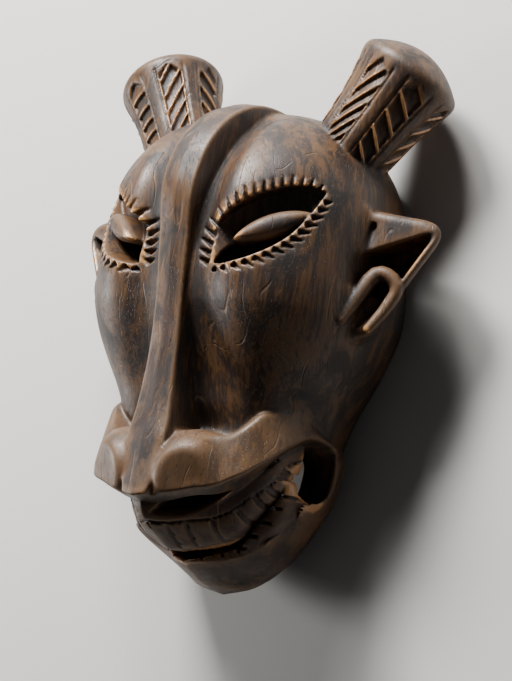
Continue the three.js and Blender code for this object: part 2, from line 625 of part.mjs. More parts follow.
// Closed triangle surface where the sampled field is zero.
function surfaceOf({ values, size }, low, cell) {
  const points = [];
  const faces = [];
  const known = new Map();
  const offsets = CELL_CORNERS.map(([i, j, k]) => (k * size[1] + j) * size[0] + i);
  const point = (a, b) => {
    const first = Math.min(a, b);
    const second = Math.max(a, b);
    const key = first * 8 + offsets.indexOf(second - first);
    if (known.has(key)) return known.get(key);
    const share = THREE.MathUtils.clamp(values[first] / (values[first] - values[second]), 0.02, 0.98);
    const spot = [0, 0, 0];
    for (const [index, weight] of [[first, 1 - share], [second, share]]) {
      spot[0] += weight * (index % size[0]);
      spot[1] += weight * (Math.floor(index / size[0]) % size[1]);
      spot[2] += weight * Math.floor(index / size[0] / size[1]);
    }
    points.push(low[0] + spot[0] * cell, low[1] + spot[1] * cell, low[2] + spot[2] * cell);
    known.set(key, points.length / 3 - 1);
    return points.length / 3 - 1;
  };
  for (let k = 0; k < size[2] - 1; k += 1) {
    for (let j = 0; j < size[1] - 1; j += 1) {
      for (let i = 0; i < size[0] - 1; i += 1) {
        const base = (k * size[1] + j) * size[0] + i;
        let inside = 0;
        for (const offset of offsets) inside += values[base + offset] < 0 ? 1 : 0;
        if (inside === 0 || inside === 8) continue;
        for (const corners of TETRAHEDRA) {
          const wood = corners.filter((c) => values[base + offsets[c]] < 0);
          if (wood.length === 0 || wood.length === 4) continue;
          const air = corners.filter((c) => values[base + offsets[c]] >= 0);
          const at = (w, a) => point(base + offsets[w], base + offsets[a]);
          let loop;
          if (wood.length === 1) loop = air.map((a) => at(wood[0], a));
          else if (wood.length === 3) loop = wood.map((w) => at(w, air[0]));
          else loop = [at(wood[0], air[0]), at(wood[0], air[1]), at(wood[1], air[1]), at(wood[1], air[0])];
          if (isOddOrder([...wood, ...air].map((c) => corners.indexOf(c)))) loop.reverse();
          faces.push(loop[0], loop[1], loop[2]);
          if (loop.length === 4) faces.push(loop[0], loop[2], loop[3]);
        }
      }
    }
  }
  return { points, faces };
}

// Smallest-first list of edge collapses.
class Queue {
  constructor() {
    this.items = [];
  }

  push(item) {
    const { items } = this;
    let i = items.push(item) - 1;
    while (i > 0) {
      const parent = (i - 1) >> 1;
      if (items[parent].cost <= item.cost) break;
      items[i] = items[parent];
      i = parent;
    }
    items[i] = item;
  }

  pop() {
    const { items } = this;
    const first = items[0];
    const item = items.pop();
    const count = items.length;
    let i = 0;
    while (count > 0) {
      let child = 2 * i + 1;
      if (child >= count) break;
      if (child + 1 < count && items[child + 1].cost < items[child].cost) child += 1;
      if (items[child].cost >= item.cost) break;
      items[i] = items[child];
      i = child;
    }
    if (count > 0) items[i] = item;
    return first;
  }
}

// Squared distances to a set of planes, kept as the ten numbers of a symmetric form.
const FORM = 10;

function addPlane(form, at, nx, ny, nz, d, weight) {
  const terms = [nx * nx, nx * ny, nx * nz, nx * d, ny * ny, ny * nz, ny * d, nz * nz, nz * d, d * d];
  terms.forEach((term, i) => { form[at + i] += weight * term; });
}

function formValue(q, x, y, z) {
  return q[0] * x * x + 2 * q[1] * x * y + 2 * q[2] * x * z + 2 * q[3] * x
    + q[4] * y * y + 2 * q[5] * y * z + 2 * q[6] * y + q[7] * z * z + 2 * q[8] * z + q[9];
}

// Point with the least squared distance to all planes of the form.
function formLowest(q) {
  const c0 = q[4] * q[7] - q[5] * q[5];
  const c1 = q[2] * q[5] - q[1] * q[7];
  const c2 = q[1] * q[5] - q[2] * q[4];
  const size = q[0] * c0 + q[1] * c1 + q[2] * c2;
  return [
    -(q[3] * c0 + q[6] * c1 + q[8] * c2) / size,
    -(q[3] * c1 + q[6] * (q[0] * q[7] - q[2] * q[2]) + q[8] * (q[1] * q[2] - q[0] * q[5])) / size,
    -(q[3] * c2 + q[6] * (q[1] * q[2] - q[0] * q[5]) + q[8] * (q[0] * q[4] - q[1] * q[1])) / size,
  ];
}

// Merges the edges that matter least, one at a time, until few enough triangles are left.
function simplify({ points, faces }, kept) {
  const spot = Float64Array.from(points);
  const corner = Int32Array.from(faces);
  const vertexCount = spot.length / 3;
  const form = new Float64Array(vertexCount * FORM);
  const around = Array.from({ length: vertexCount }, () => []);
  const stamp = new Int32Array(vertexCount);
  const gone = new Uint8Array(corner.length / 3);
  let left = corner.length / 3;

  const normalOf = (a, b, c, moved, to) => {
    const [p, q, r] = [a, b, c].map((v) => (v === moved ? to : spot.subarray(3 * v, 3 * v + 3)));
    const ux = q[0] - p[0];
    const uy = q[1] - p[1];
    const uz = q[2] - p[2];
    const vx = r[0] - p[0];
    const vy = r[1] - p[1];
    const vz = r[2] - p[2];
    return [uy * vz - uz * vy, uz * vx - ux * vz, ux * vy - uy * vx];
  };

  for (let f = 0; f < left; f += 1) {
    const [a, b, c] = corner.subarray(3 * f, 3 * f + 3);
    const n = normalOf(a, b, c, -1);
    const size = Math.hypot(...n) || 1e-12;
    const [nx, ny, nz] = n.map((v) => v / size);
    const d = -(nx * spot[3 * a] + ny * spot[3 * a + 1] + nz * spot[3 * a + 2]);
    for (const v of [a, b, c]) {
      around[v].push(f);
      addPlane(form, v * FORM, nx, ny, nz, d, size);
    }
  }
  for (let v = 0; v < vertexCount; v += 1) {
    const [x, y, z] = spot.subarray(3 * v, 3 * v + 3);
    addPlane(form, v * FORM, 1, 0, 0, -x, STAY_PUT);
    addPlane(form, v * FORM, 0, 1, 0, -y, STAY_PUT);
    addPlane(form, v * FORM, 0, 0, 1, -z, STAY_PUT);
  }

  const neighbours = (v) => {
    const found = new Set();
    for (const f of around[v]) for (let i = 0; i < 3; i += 1) found.add(corner[3 * f + i]);
    found.delete(v);
    return found;
  };
  const queue = new Queue();
  const offer = (a, b) => {
    const q = [];
    for (let i = 0; i < FORM; i += 1) q.push(form[a * FORM + i] + form[b * FORM + i]);
    const to = formLowest(q);
    queue.push({ cost: formValue(q, ...to), a, b, stamp: stamp[a] + stamp[b], to });
  };
  const staysSound = (v, other, to) => {
    for (const f of around[v]) {
      const [a, b, c] = corner.subarray(3 * f, 3 * f + 3);
      if (a === other || b === other || c === other) continue;
      const before = normalOf(a, b, c, -1);
      const after = normalOf(a, b, c, v, to);
      const sizes = Math.hypot(...before) * Math.hypot(...after);
      const turn = before[0] * after[0] + before[1] * after[1] + before[2] * after[2];
      if (turn < LEAST_TURN * sizes || Math.hypot(...after) < LEAST_AREA) return false;
    }
    return true;
  };

  for (let v = 0; v < vertexCount; v += 1) for (const w of neighbours(v)) if (v < w) offer(v, w);
  while (left > kept && queue.items.length > 0) {
    const { a, b, stamp: age, to } = queue.pop();
    if (around[a].length === 0 || around[b].length === 0 || stamp[a] + stamp[b] !== age) continue;
    const near = neighbours(a);
    const common = [...neighbours(b)].filter((v) => near.has(v));
    if (!near.has(b) || common.length !== 2) continue;
    if (!staysSound(a, b, to) || !staysSound(b, a, to)) continue;
    for (const f of around[b]) {
      if (around[a].includes(f)) {
        gone[f] = 1;
        left -= 1;
      } else {
        for (let i = 0; i < 3; i += 1) if (corner[3 * f + i] === b) corner[3 * f + i] = a;
        around[a].push(f);
      }
    }
    around[b] = [];
    for (const v of [a, ...common]) around[v] = around[v].filter((f) => gone[f] === 0);
    spot.set(to, 3 * a);
    for (let i = 0; i < FORM; i += 1) form[a * FORM + i] += form[b * FORM + i];
    stamp[a] += 1 + stamp[b];
    for (const v of neighbours(a)) offer(a, v);
  }

  const index = [];
  for (let f = 0; f < gone.length; f += 1) {
    if (gone[f] === 0) index.push(...corner.subarray(3 * f, 3 * f + 3));
  }
  return { spot, index };
}

// Leaves out specks closed in where a slot is thinner than a cell: only the largest skin is kept.
function largestSkin({ points, faces }) {
  const parent = Array.from({ length: points.length / 3 }, (_, v) => v);
  const root = (v) => {
    let top = v;
    while (parent[top] !== top) {
      parent[top] = parent[parent[top]];
      top = parent[top];
    }
    return top;
  };
  for (let f = 0; f < faces.length; f += 3) {
    parent[root(faces[f + 1])] = root(faces[f]);
    parent[root(faces[f + 2])] = root(faces[f]);
  }
  const sizes = new Map();
  for (const v of faces) sizes.set(root(v), (sizes.get(root(v)) ?? 0) + 1);
  const largest = [...sizes.keys()].reduce((a, b) => (sizes.get(a) >= sizes.get(b) ? a : b));
  return { points, faces: faces.filter((_, i) => root(faces[i]) === largest) };
}

function maskGeometry() {
  const grid = sampleField(mask, FIELD_LOW, FIELD_HIGH, CELL, BLOCK);
  const skin = largestSkin(surfaceOf(grid, FIELD_LOW, CELL));
  const { spot, index } = simplify(skin, KEPT_TRIANGLES);
  const used = new Map();
  const position = [];
  const renumbered = index.map((v) => {
    if (!used.has(v)) {
      used.set(v, used.size);
      position.push(...spot.subarray(3 * v, 3 * v + 3));
    }
    return used.get(v);
  });
  const geometry = new THREE.BufferGeometry();
  geometry.setAttribute('position', new THREE.Float32BufferAttribute(position, 3));
  geometry.setIndex(renumbered);
  geometry.computeBoundingBox();
  const { min, max } = geometry.boundingBox;
  geometry.translate(-(min.x + max.x) / 2, -(min.y + max.y) / 2, -min.z);
  geometry.computeVertexNormals();
  return geometry;
}

const darkWood = new THREE.MeshStandardMaterial({ color: 0x3a241a, roughness: 0.45, metalness: 0 });
const buffaloMask = new THREE.Mesh(maskGeometry(), darkWood);
buffaloMask.name = 'buffalo_mask';

const group = new THREE.Group();
group.add(buffaloMask);

export default group;
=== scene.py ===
"""Carved wooden buffalo mask, lying face up on the rim of its hollow back.

All forms are signed distances in millimetres, less than nothing inside the wood: x to the side, y up
towards the horns and z out of the face from the flat rim. They are joined and cut with soft edges,
read on a fine grid, and turned into one closed skin. The finish is worked out in the wood's material.
A factor below one beside a slanting face brings how fast its distance grows back near to one.
"""

import bpy
import numpy as np
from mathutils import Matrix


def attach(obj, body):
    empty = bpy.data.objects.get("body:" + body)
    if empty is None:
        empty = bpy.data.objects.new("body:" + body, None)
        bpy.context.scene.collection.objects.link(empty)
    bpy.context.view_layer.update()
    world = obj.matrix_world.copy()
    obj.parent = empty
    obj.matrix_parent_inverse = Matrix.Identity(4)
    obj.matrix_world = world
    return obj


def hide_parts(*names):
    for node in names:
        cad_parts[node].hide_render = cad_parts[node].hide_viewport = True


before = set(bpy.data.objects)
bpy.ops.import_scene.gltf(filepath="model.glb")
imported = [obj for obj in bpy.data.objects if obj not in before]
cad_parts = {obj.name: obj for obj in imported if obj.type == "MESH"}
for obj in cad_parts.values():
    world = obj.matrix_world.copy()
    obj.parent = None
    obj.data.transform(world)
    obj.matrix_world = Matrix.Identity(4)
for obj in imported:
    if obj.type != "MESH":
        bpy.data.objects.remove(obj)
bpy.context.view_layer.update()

import openvdb
from mathutils import Matrix, Vector

MILLIMETRE = 0.001
# Level of the horns' and chin's middle, which is the middle of the frame.
MIDDLE_LEVEL = 14.2
# Rounds off the middle line, where the two halves meet.
MIDDLE_ROUNDING = 0.2


def unit(direction):
    """The same direction with length one."""
    return np.array(direction, float) / np.linalg.norm(direction)


# Main dimensions of the head.
SKULL_CENTRE = [0, 52, 58]
SKULL_HALF = [118, 118, 114]
SKULL_SQUARENESS = 2.5
CHEEK_TOP = [0, 10, 56, 108]
CHEEK_LOW = [0, -105, 54, 78]
# Hollow at the back: least wall, dome over the wearer's face, cheeks and chin.
WALL = 11
HOLLOW_DOME_CENTRE = [0, 48, 40]
HOLLOW_DOME_HALF = [101, 98, 96]
HOLLOW_TOP = [0, 10, 38, 88]
HOLLOW_LOW = [0, -92, 34, 57]
HOLLOW_CHIN_CENTRE = [0, -112, 26]
HOLLOW_CHIN_HALF = [44, 58, 54]
# Rounding between the hollow's parts, and where the least wall limits it.
HOLLOW_ROUNDING = 20
WALL_ROUNDING = 8
# Ridge from the crown down to the nose tip: its height above the rim and its half width, by height.
RIDGE_HEIGHT = [[-145, 168], [-120, 164], [-96, 162], [-72, 158], [-40, 156.5], [4, 157.5], [53, 162]]
RIDGE_HALF = [[-140, 10], [-120, 15], [-96, 17.5], [-70, 15.5], [-40, 13.5], [0, 12.5], [50, 13.5],
  [100, 15.5], [176, 15]]
# Over the crown the ridge is a radius about the skull's centre, by angle from straight out.
CROWN_RADIUS = [[-5, 103], [1, 104], [23, 116.5], [50, 124.2], [70, 125], [90, 122], [115, 118]]
CROWN_END = 115
# Level of the ridge's lower end, and how far its top falls for each millimetre to the side.
RIDGE_FOOT = -155
RIDGE_FALL = 0.14
VALLEY_OFFSET = 20
VALLEY_DEPTH = [[-100, 0], [-92, 12], [-60, 17], [0, 20], [60, 20], [120, 16], [150, 10], [176, 4]]
VALLEY_SPREAD = [[-90, 26], [20, 30], [60, 20], [160, 17]]
# Muzzle: front profile on the middle line, how far it falls back to each side, and its half width.
FRONT_PROFILE = [[-200, 30], [-197, 50], [-193, 68], [-188, 79], [-180, 95], [-171, 114], [-163, 131],
  [-155, 145], [-138, 156], [-120, 158], [-60, 158]]
FALL_BACK = [[0, 0], [10, 6], [20, 18], [30, 31], [40, 42], [50, 51], [60, 60], [70, 72], [80, 92],
  [88, 112]]
JAW_HALF = [[-197.5, 2], [-193, 19], [-185, 35], [-175, 47], [-164, 57], [-149, 67], [-127, 80],
  [-109, 87], [-93, 88.5], [-75, 88], [-60, 87], [-40, 84]]
WIDEST_LEVEL = 41
# Below its widest level the jaw is drawn in over this share of its half width.
JAW_DRAWN_IN = 0.57
JAW_ROUNDING = 8
JAW_TOP = -86
JAW_BACK = 2
CORNER_RISE = [[0, 0], [60, 0], [82, 14], [95, 40], [110, 60]]
CORNER_LEVELS = [-150, -105]
ROOF_SLOPE = 0.3
# Section of the snout and lip band, and the rounding where they join the head.
MUZZLE_HALF = 89
MUZZLE_DEPTH = 118
MUZZLE_SQUARENESS = 2.6
MUZZLE_FLARE = 0.07
MUZZLE_JOINT = 2.5
# Upper and lower edge of the lip band, by angle from straight out to the side.
BAND_TOP = [[0, -84], [26, -88], [31, -86], [34, -82], [38, -75], [42, -68], [47, -64], [54, -61],
  [62, -61], [73, -68], [90, -80], [180, -80]]
BAND_LOW = [[0, -139], [12, -134], [20, -129], [29, -124], [33, -119], [38, -113], [45, -103],
  [55, -89], [64, -80], [90, -80]]
# How far out the band's lower edge stands from the muzzle's axis, by the same angle.
BAND_REACH = [[0, 121], [29, 118], [45, 112], [64, 102], [90, 92]]
# The cheek steps back above the band's edge on the side, and comes forward again further up.
BAND_STEP = 3.4
BAND_STEP_FADE = 14
BAND_STEP_STARTS = [40, 56]
BAND_STEP_ENDS = [70, 84]
LOBE_CENTRE = [28, -118, 129]
LOBE_HALF = [32, 34, 38]
LOBE_PLANES = [[0.9, 0.243, 0.4, 79.2, 3], [0.45, -0.2, 0.87, 176.4, 5]]
# Mouth: gum line, biting edges and the lip under the lower teeth, by distance from the middle line.
GUM = [[0, -154], [12, -153.5], [23, -150], [35, -146], [48.5, -136.4], [56.3, -127], [62, -120],
  [67, -111], [70, -101], [75, -92]]
BITE_UP = [[0, -172], [20, -167], [37, -159.5], [49, -150.5], [57, -140], [61, -134], [64.5, -128],
  [68.5, -119], [71, -112], [73, -102], [76, -94]]
BITE_LOW = [[0, -177], [10, -174.3], [24, -168.2], [40, -160.2], [51, -150.5], [58, -140.5],
  [64, -130.5], [68, -119.5], [70.5, -111.5], [72, -112], [74, -120], [77, -137], [79, -147]]
LIP_LOW = [[0, -178.5], [17, -176], [32, -171.5], [51, -163], [65, -151.5], [74, -138], [80, -125],
  [85, -122], [90, -121]]
GUM_DEPTH = 14
ROW_INSET = 12
ROW_DEPTH = 20
TOOTH_CUT = 1.1
TOOTH_RELIEF = 2
# How far the lower row sinks back from lip to biting edge, and the least height it does so over.
LOWER_ROW_SINK = [[0, 7], [25, 6.5], [45, 5], [60, 4.5], [80, 4]]
LEAST_RISE = 8
# The lower row's foot under the lip, its depth, and its base, which is higher at its free end.
LOWER_ROW_FOOT = 8
LOWER_ROW_DEPTH = 10
LOWER_ROW_BASE = [40, 66]
LOWER_ROW_TIP = [-130, -118]
# Share of the lower row's height below its cuts, and how far sideways the bite is open.
UNCUT_SHARE = 0.4
BITE_REACH = 72
# Floor of the mouth at the corners, and the deeper throat within its walls.
MOUTH_FLOOR = 41
THROAT_FLOOR = 15
THROAT_HALF = 55
THROAT_WALL = 14
# Gaps between the teeth: places across, how the upper ones lean to each side of an upright one,
# and levels of the lower ones beyond the last place.
UPPER_TEETH = [0, 12, 22, 35, 48.5, 57.3, 63, 68]
UPRIGHT_TOOTH = 35
TOOTH_LEAN = 0.026
LEAST_LEAN = -0.2
MOST_LEAN = 0.3
LOWER_TEETH = [0, 13, 25, 36]
LOWER_GAP_LEVELS = [-163.2, -153.9, -143.4, -132.4, -122.7]
NOSTRIL_INNER = np.array([6, -150, 150])
NOSTRIL_OUTER = np.array([54, -128, 118])
NOSTRIL_HALF = 9
NOSTRIL_FACING = np.array([0.45, -0.65, 0.6])
NOSTRIL_DEPTH = 28
SEPTUM_HALF = 4
# Eyes: inner and outer corner, lids' heights and the eyeball's pod.
EYE_INNER = np.array([30, 30, 160])
EYE_OUTER = np.array([100, 90, 112])
EYE_FACING = np.array([0.55, 0, 0.83])
UPPER_LID = [[-52, -2], [-41, 11.6], [-30, 21], [-7, 26.8], [16, 24.6], [37, 18.4], [48, 11],
  [52, 5.5]]
LOWER_LID = [[-52, -2], [-44, -2.5], [-36, -6.3], [-26, -9.8], [-15, -12], [0, -12.8], [13, -11.4],
  [26, -7.3], [39, -1.6], [47, 2.5], [52, 5.5]]
SOCKET_DEPTH = [[-45, 2], [-20, 8], [10, 9], [45, 4]]
POD_HALF = 31
POD_MIDDLE = [7, 1.5]
POD_TILT = -0.19
POD_WIDTH = 9
POD_HEIGHT = 10
POD_BLUNT_END = 3
POD_ROUNDNESS = 0.75
SLIT_TOP = [[-44, -1], [-32, 4.5], [-20, 5.5], [-5, 3], [10, -3], [24, -8]]
SLIT_ENDS = [-43, 24]
SLIT_RIM = 1.2
SLIT_CENTRE = -15
SLIT_HALF = 40
# Bounds of the mouth and horns in height, of the ears to the side, and of the eyes in height and
# out of the face. Beyond them the forms aren't worked out.
MOUTH_BELOW = -20
HORN_ABOVE = 60
EAR_BEYOND = 70
EYE_ABOVE = [-8, 30]
# Horns: foot, direction, radius along the axis and the carved strips around them.
HORN_FOOT = np.array([79, 142, 61])
HORN_AXIS = unit([0.49, 0.85, -0.19])
HORN_RADIUS = [[-60, 22], [-20, 27], [0, 31], [35, 35], [65, 41], [80, 44]]
HORN_LENGTH = 70
HORN_DOME = 20
HORN_TOP_RADIUS = 44
STRIP_COUNT = 7
STRIP_FIRST = [89, 72]
STRIP_HALF = 15
LINE_DEPTH = 1.6
# Ears: planes around the leaf and the cup, each with its rounding, the lines beside the leaf and
# the raised rib in the cup.
EAR_PLANES = [[0.12, 1, 0, 104.6, 0], [0.814, -0.581, -0.65, 53.7, 20], [0.36, 0, 1, 124.3, 8],
  [0, 0, -1, -34, 10], [0, -1, 0, 6, 8], [-1, 0, 0, -96, 6]]
CUP_PLANES = [[-0.42, 1, 0, 9.4, 0], [0.814, -0.581, -0.65, 46.7, 8], [-0.2, -1, 0, -52, 6],
  [0, 0, -1, -50, 6], [-1, 0, 0, -112, 6]]
EAR_GROOVE = [[119, 78, 80, 2.5], [119, 52, 88, 4.5], [117, 30, 96, 4.5], [113, 9, 103, 1.5]]
EAR_CHANNEL = [[130, 36, 72, 7], [124, 20, 78, 7], [117, 5, 84, 3]]
EAR_RIB = [[110, 6, 94, 4.5], [116, 24, 86, 5.5], [123, 41, 78, 6], [132, 43, 74, 5.5],
  [140, 34, 71, 5], [134, 18, 74, 4.5], [125, 2, 80, 3.5]]
# Rounding where two forms meet, from a wide fillet to a crisp edge.
WIDE = 28
SOFT = 10
ROUNDED = 6
EASED = 3
CRISP = 2
# Sampling: cell of the grid, cells to a block's side, how near a block's centre may pass the
# surface in block sides, value far from it, blocks read at once and triangles kept.
CELL = 1.15
BLOCK = 8
NEAR_SURFACE = 1.65
FAR = 20.0
BLOCKS_AT_ONCE = 500
SKIN_TRIANGLES = 190000
FIELD_LOW = [-170, -204, -3.6]
FIELD_HIGH = [170, 234, 176]
# Reaches in millimetres over which worn edges and the painted shade and dirt of recesses are read,
# with the shade's weights.
EDGE_REACHES = (("edge_fine", 2.2), ("edge_wide", 6.0))
SHADE_REACHES = ((4, 0.4), (10, 0.35), (24, 0.25))
# Painted shadow of the ridge, with some dirt, darkening the valley beside it.
VALLEY_SHADOW_AND_DIRT = 0.45
# Wood colours.
BROWN = (0.085, 0.034, 0.014, 1)
OCHRE = (0.42, 0.185, 0.05, 1)
RED_BROWN = (0.19, 0.06, 0.026, 1)
PATINA = (0.020, 0.010, 0.006, 1)
TEETH = (0.20, 0.075, 0.035, 1)
# Tan of rubbed wood; on the snout it is also a painted highlight.
RUBBED = (0.58, 0.29, 0.11, 1)
# Near black of the painted shade, with some dirt, in recesses and in the ridge's shadow beside it.
SHADE_AND_DIRT_COLOUR = (0.007, 0.005, 0.004, 1)
RAW_DARK = (0.075, 0.040, 0.022, 1)
RAW_LIGHT = (0.16, 0.095, 0.055, 1)
# Hair scratches: turn, offset and stretch of each of the three families.
HAIR_LINES = (((0.2, 0.3, 0.5), 0.0, (26, 5, 20)), ((0.6, 0.1, -0.45), 0.7, (30, 6, 22)),
              ((0.1, 0.8, 1.2), 1.9, (22, 4.5, 22)))
# Floor, lights and camera, in metres.
FLOOR_HALF = 4.0
FLOOR_COLOUR = (0.62, 0.60, 0.57, 1)
STUDIO_GLOW = (0.055, 0.055, 0.058, 1)
LIT_POINT = (0.0, 0.0, 0.08)
LIGHTS = [
    ("key_light", (-0.45, 1.35, 1.1), 0.55, 88),
    ("top_light", (0.05, 1.5, 0.85), 0.4, 28),
    ("side_light", (-1.3, -0.15, 0.6), 0.5, 16),
]
SENSOR = 36.0
LENS = 102.98
CAMERA_PLACE = (0.881879, -0.225663, 1.239815)
CAMERA_RIGHT = (0.809017, 0.132223, -0.57272)
CAMERA_UP = (-0.025639, 0.981381, 0.190353)
# Finer carving that only this model has, depths and lengths in millimetres.
# Chips over and under the eye: how many, their length, where they start and how they lean.
CHIP_COUNTS = (17, 14)
CHIP_LENGTHS = (13, 10)
CHIP_STARTS = (-2.5, 2.6)
CHIP_LEANS = (0.35, 0.75)
CHIP_DEPTH = 4
ADZE_DEPTH = 0.35
GOUGE_DEPTH = 0.7
GOUGE_STEP = 15
HORN_CUT_DEPTH = 4.6
# Cuts of each horn's seven strips: spacing at the foot, how it grows, slant, and 1 for open boxes
# between thin ribs or 0 for steps with one steep wall.
RIGHT_CUTS = np.array([[10, 0.09, -15, 0], [14, 0.03, 6.5, 1], [13, 0.03, -7, 1], [12, 0.05, 8, 0],
                       [13, 0.03, -8, 0], [12, 0.05, 8, 0], [12, 0.05, -8, 0]])
LEFT_CUTS = np.array([[9.5, 0.05, 1, 0], [12, 0.05, -8, 0], [12, 0.05, 8, 0], [12, 0.05, -8, 0],
                      [13, 0.03, 0, 1], [12, 0.05, -8, 0], [11, 0.05, 13, 1]])


def join(a, b, blend=0.0):
    """Smallest of two distances, rounded where they are within the blend of each other."""
    if blend == 0:
        return np.minimum(a, b)
    share = np.clip(0.5 + 0.5 * (b - a) / blend, 0, 1)
    return b + (a - b) * share - blend * share * (1 - share)


def shared(a, b, blend=0.0):
    """What two forms have in common: the largest of two distances, softly."""
    return -join(-a, -b, blend)


def cut(a, b, blend=0.0):
    """The first form without the second, with a soft edge."""
    return shared(a, -b, blend)


def smooth_line(pairs):
    """A cubic through the pairs of place and value, with the mean slope at each of them."""
    place, value = np.array(pairs, float).T
    width = np.diff(place)
    step = np.diff(value) / width
    slope = np.concatenate([step[:1], (step[:-1] * width[1:] + step[1:] * width[:-1])
                            / (width[1:] + width[:-1]), step[-1:]])

    def line(at):
        at = np.clip(at, place[0], place[-1])
        i = np.clip(np.searchsorted(place, at, side="right") - 1, 0, len(width) - 1)
        u = (at - place[i]) / width[i]
        v = 1 - u
        start = v * v * ((1 + 2 * u) * value[i] + u * width[i] * slope[i])
        end = u * u * ((1 + 2 * v) * value[i + 1] - v * width[i] * slope[i + 1])
        return (start + end).astype(np.float32)

    return line


def ramp(low, high, at):
    """Nothing below low, one above high, and an S between them."""
    u = np.clip((at - low) / (high - low), 0, 1)
    return u * u * (3 - 2 * u)


def tapered_bar(x, y, z, start, end, radius, end_radius):
    """Distance to a straight axis less a radius that changes evenly along it."""
    along = [end[i] - start[i] for i in range(3)]
    length2 = sum(v * v for v in along)
    dx, dy, dz = x - start[0], y - start[1], z - start[2]
    t = np.clip((dx * along[0] + dy * along[1] + dz * along[2]) / length2, 0, 1)
    away = np.sqrt((dx - t * along[0]) ** 2 + (dy - t * along[1]) ** 2 + (dz - t * along[2]) ** 2)
    return away - (radius + (end_radius - radius) * t)


def bent_bar(stations, pieces):
    """Tapered bars end to end along a rounded curve through stations of x, y, z and radius."""
    stations = np.array(stations, float)
    places = np.linspace(0, len(stations) - 1, pieces + 1)
    x, y, z, radius = [smooth_line(list(enumerate(stations[:, k])))(places) for k in range(4)]
    ends = np.stack([x, y, z], 1)

    def bar(x, y, z):
        nearest = None
        for i in range(pieces):
            one = tapered_bar(x, y, z, ends[i], ends[i + 1], radius[i], radius[i + 1])
            nearest = one if nearest is None else np.minimum(nearest, one)
        return nearest

    return bar


def ellipsoid(x, y, z, centre, half):
    """Radius in units of the half sizes, brought back to millimetres by its own steepness."""
    px, py, pz = (x - centre[0]) / half[0], (y - centre[1]) / half[1], (z - centre[2]) / half[2]
    size = np.sqrt(px * px + py * py + pz * pz)
    steep = np.sqrt((px / half[0]) ** 2 + (py / half[1]) ** 2 + (pz / half[2]) ** 2)
    return size * (size - 1) / np.maximum(steep, 1e-6)


def square_dome(x, y, z, centre, half):
    """A dome whose outline at each depth is a rounded square, by a power of each coordinate."""
    flat = (x / half[0]) ** SKULL_SQUARENESS + np.abs((y - centre[1]) / half[1]) ** SKULL_SQUARENESS
    size = np.sqrt(flat ** (2 / SKULL_SQUARENESS) + ((z - centre[2]) / half[2]) ** 2 + 1e-9)
    return (size - 1) * sum(half) / 3


def inside_planes(x, y, z, planes):
    """What lies behind every plane, given by its normal, offset and rounding with those before."""
    wood = None
    for a, b, c, offset, rounding in planes:
        side = (a * x + b * y + c * z - offset) / np.sqrt(a * a + b * b + c * c)
        wood = side if wood is None else shared(wood, side, rounding)
    return wood


def head(x, y, z):
    """Square dome of the skull joined widely with the bar of the long cheeks."""
    cheeks = tapered_bar(x, y, z, CHEEK_TOP, CHEEK_LOW, CHEEK_TOP[3], CHEEK_LOW[3])
    return join(square_dome(x, y, z, SKULL_CENTRE, SKULL_HALF), cheeks, WIDE)


valley_depth = smooth_line(VALLEY_DEPTH)
valley_spread = smooth_line(VALLEY_SPREAD)


def valley(x, y, z):
    """Depth taken off beside the ridge, falling away as a bell curve to the side."""
    u = np.maximum(x - VALLEY_OFFSET, 0) / valley_spread(y)
    return valley_depth(y) * np.exp(-u * u) * ramp(70, 110, z)


ridge_height = smooth_line(RIDGE_HEIGHT)
ridge_half = smooth_line(RIDGE_HALF)
crown_radius = smooth_line(CROWN_RADIUS)


def ridge(x, y, z):
    """A strip whose flat top follows the face's profile, then an arc over the crown."""
    up, out = y - SKULL_CENTRE[1], z - SKULL_CENTRE[2]
    angle = np.degrees(np.arctan2(up, out))
    crown = np.hypot(up, out) - crown_radius(angle) + RIDGE_FALL * x
    crown = np.where(angle > CROWN_END, np.maximum(crown, (angle - CROWN_END) * 1.5), crown)
    slope = (ridge_height(y + 1) - ridge_height(y - 1)) / 2
    front = (z - ridge_height(y) + RIDGE_FALL * x) / np.hypot(1, slope)
    top = np.where(y > SKULL_CENTRE[1] + 1, crown, front)
    return shared(shared(x - ridge_half(y), top, 2.5), RIDGE_FOOT - y, EASED)


front_profile = smooth_line(FRONT_PROFILE)
fall_back = smooth_line(FALL_BACK)
jaw_half = smooth_line(JAW_HALF)
band_top = smooth_line(BAND_TOP)
band_low = smooth_line(BAND_LOW)
band_reach = smooth_line(BAND_REACH)
corner_rise = smooth_line(CORNER_RISE)


def prow(x, y):
    """Height of the mouth's front: the middle line's profile less what falls back to the side."""
    return front_profile(y) - fall_back(x)


def muzzle_side(x, y, z):
    """Side of the jaw: an ellipse below its widest level, a straight wall above it."""
    half = np.maximum(jaw_half(y), 1)
    below = np.minimum(z - WIDEST_LEVEL, 0) / (JAW_DRAWN_IN * half)
    return (np.hypot(x / half, below) - 1) * half * 0.8


def angle_to_side(x, z):
    """Angle round the muzzle in degrees, nothing straight out and 90 to the side."""
    return np.degrees(np.arctan2(x, z - WIDEST_LEVEL))


def muzzle(x, y, z):
    """Snout and lip band: a rounded square section that flares a little towards its lower edge."""
    angle = angle_to_side(x, z)
    top, low = band_top(angle), band_low(angle)
    flare = 1 - MUZZLE_FLARE * np.clip((y - low) / (top - low), -0.5, 1.3)
    out = np.maximum(z - WIDEST_LEVEL, 0) / (MUZZLE_DEPTH * flare)
    wide = x / (MUZZLE_HALF * flare)
    size = (wide ** MUZZLE_SQUARENESS + out ** MUZZLE_SQUARENESS) ** (1 / MUZZLE_SQUARENESS)
    section = (size - 1) * 100
    return shared(shared(section, (y - top) * 0.85, 5), muzzle_side(x, y, z), ROUNDED)


def nose_lobe(x, y, z):
    """Ball of the nose with two flats cut on it."""
    ball = ellipsoid(x, y, z, LOBE_CENTRE, LOBE_HALF)
    return shared(ball, inside_planes(x, y, z, LOBE_PLANES), EASED)


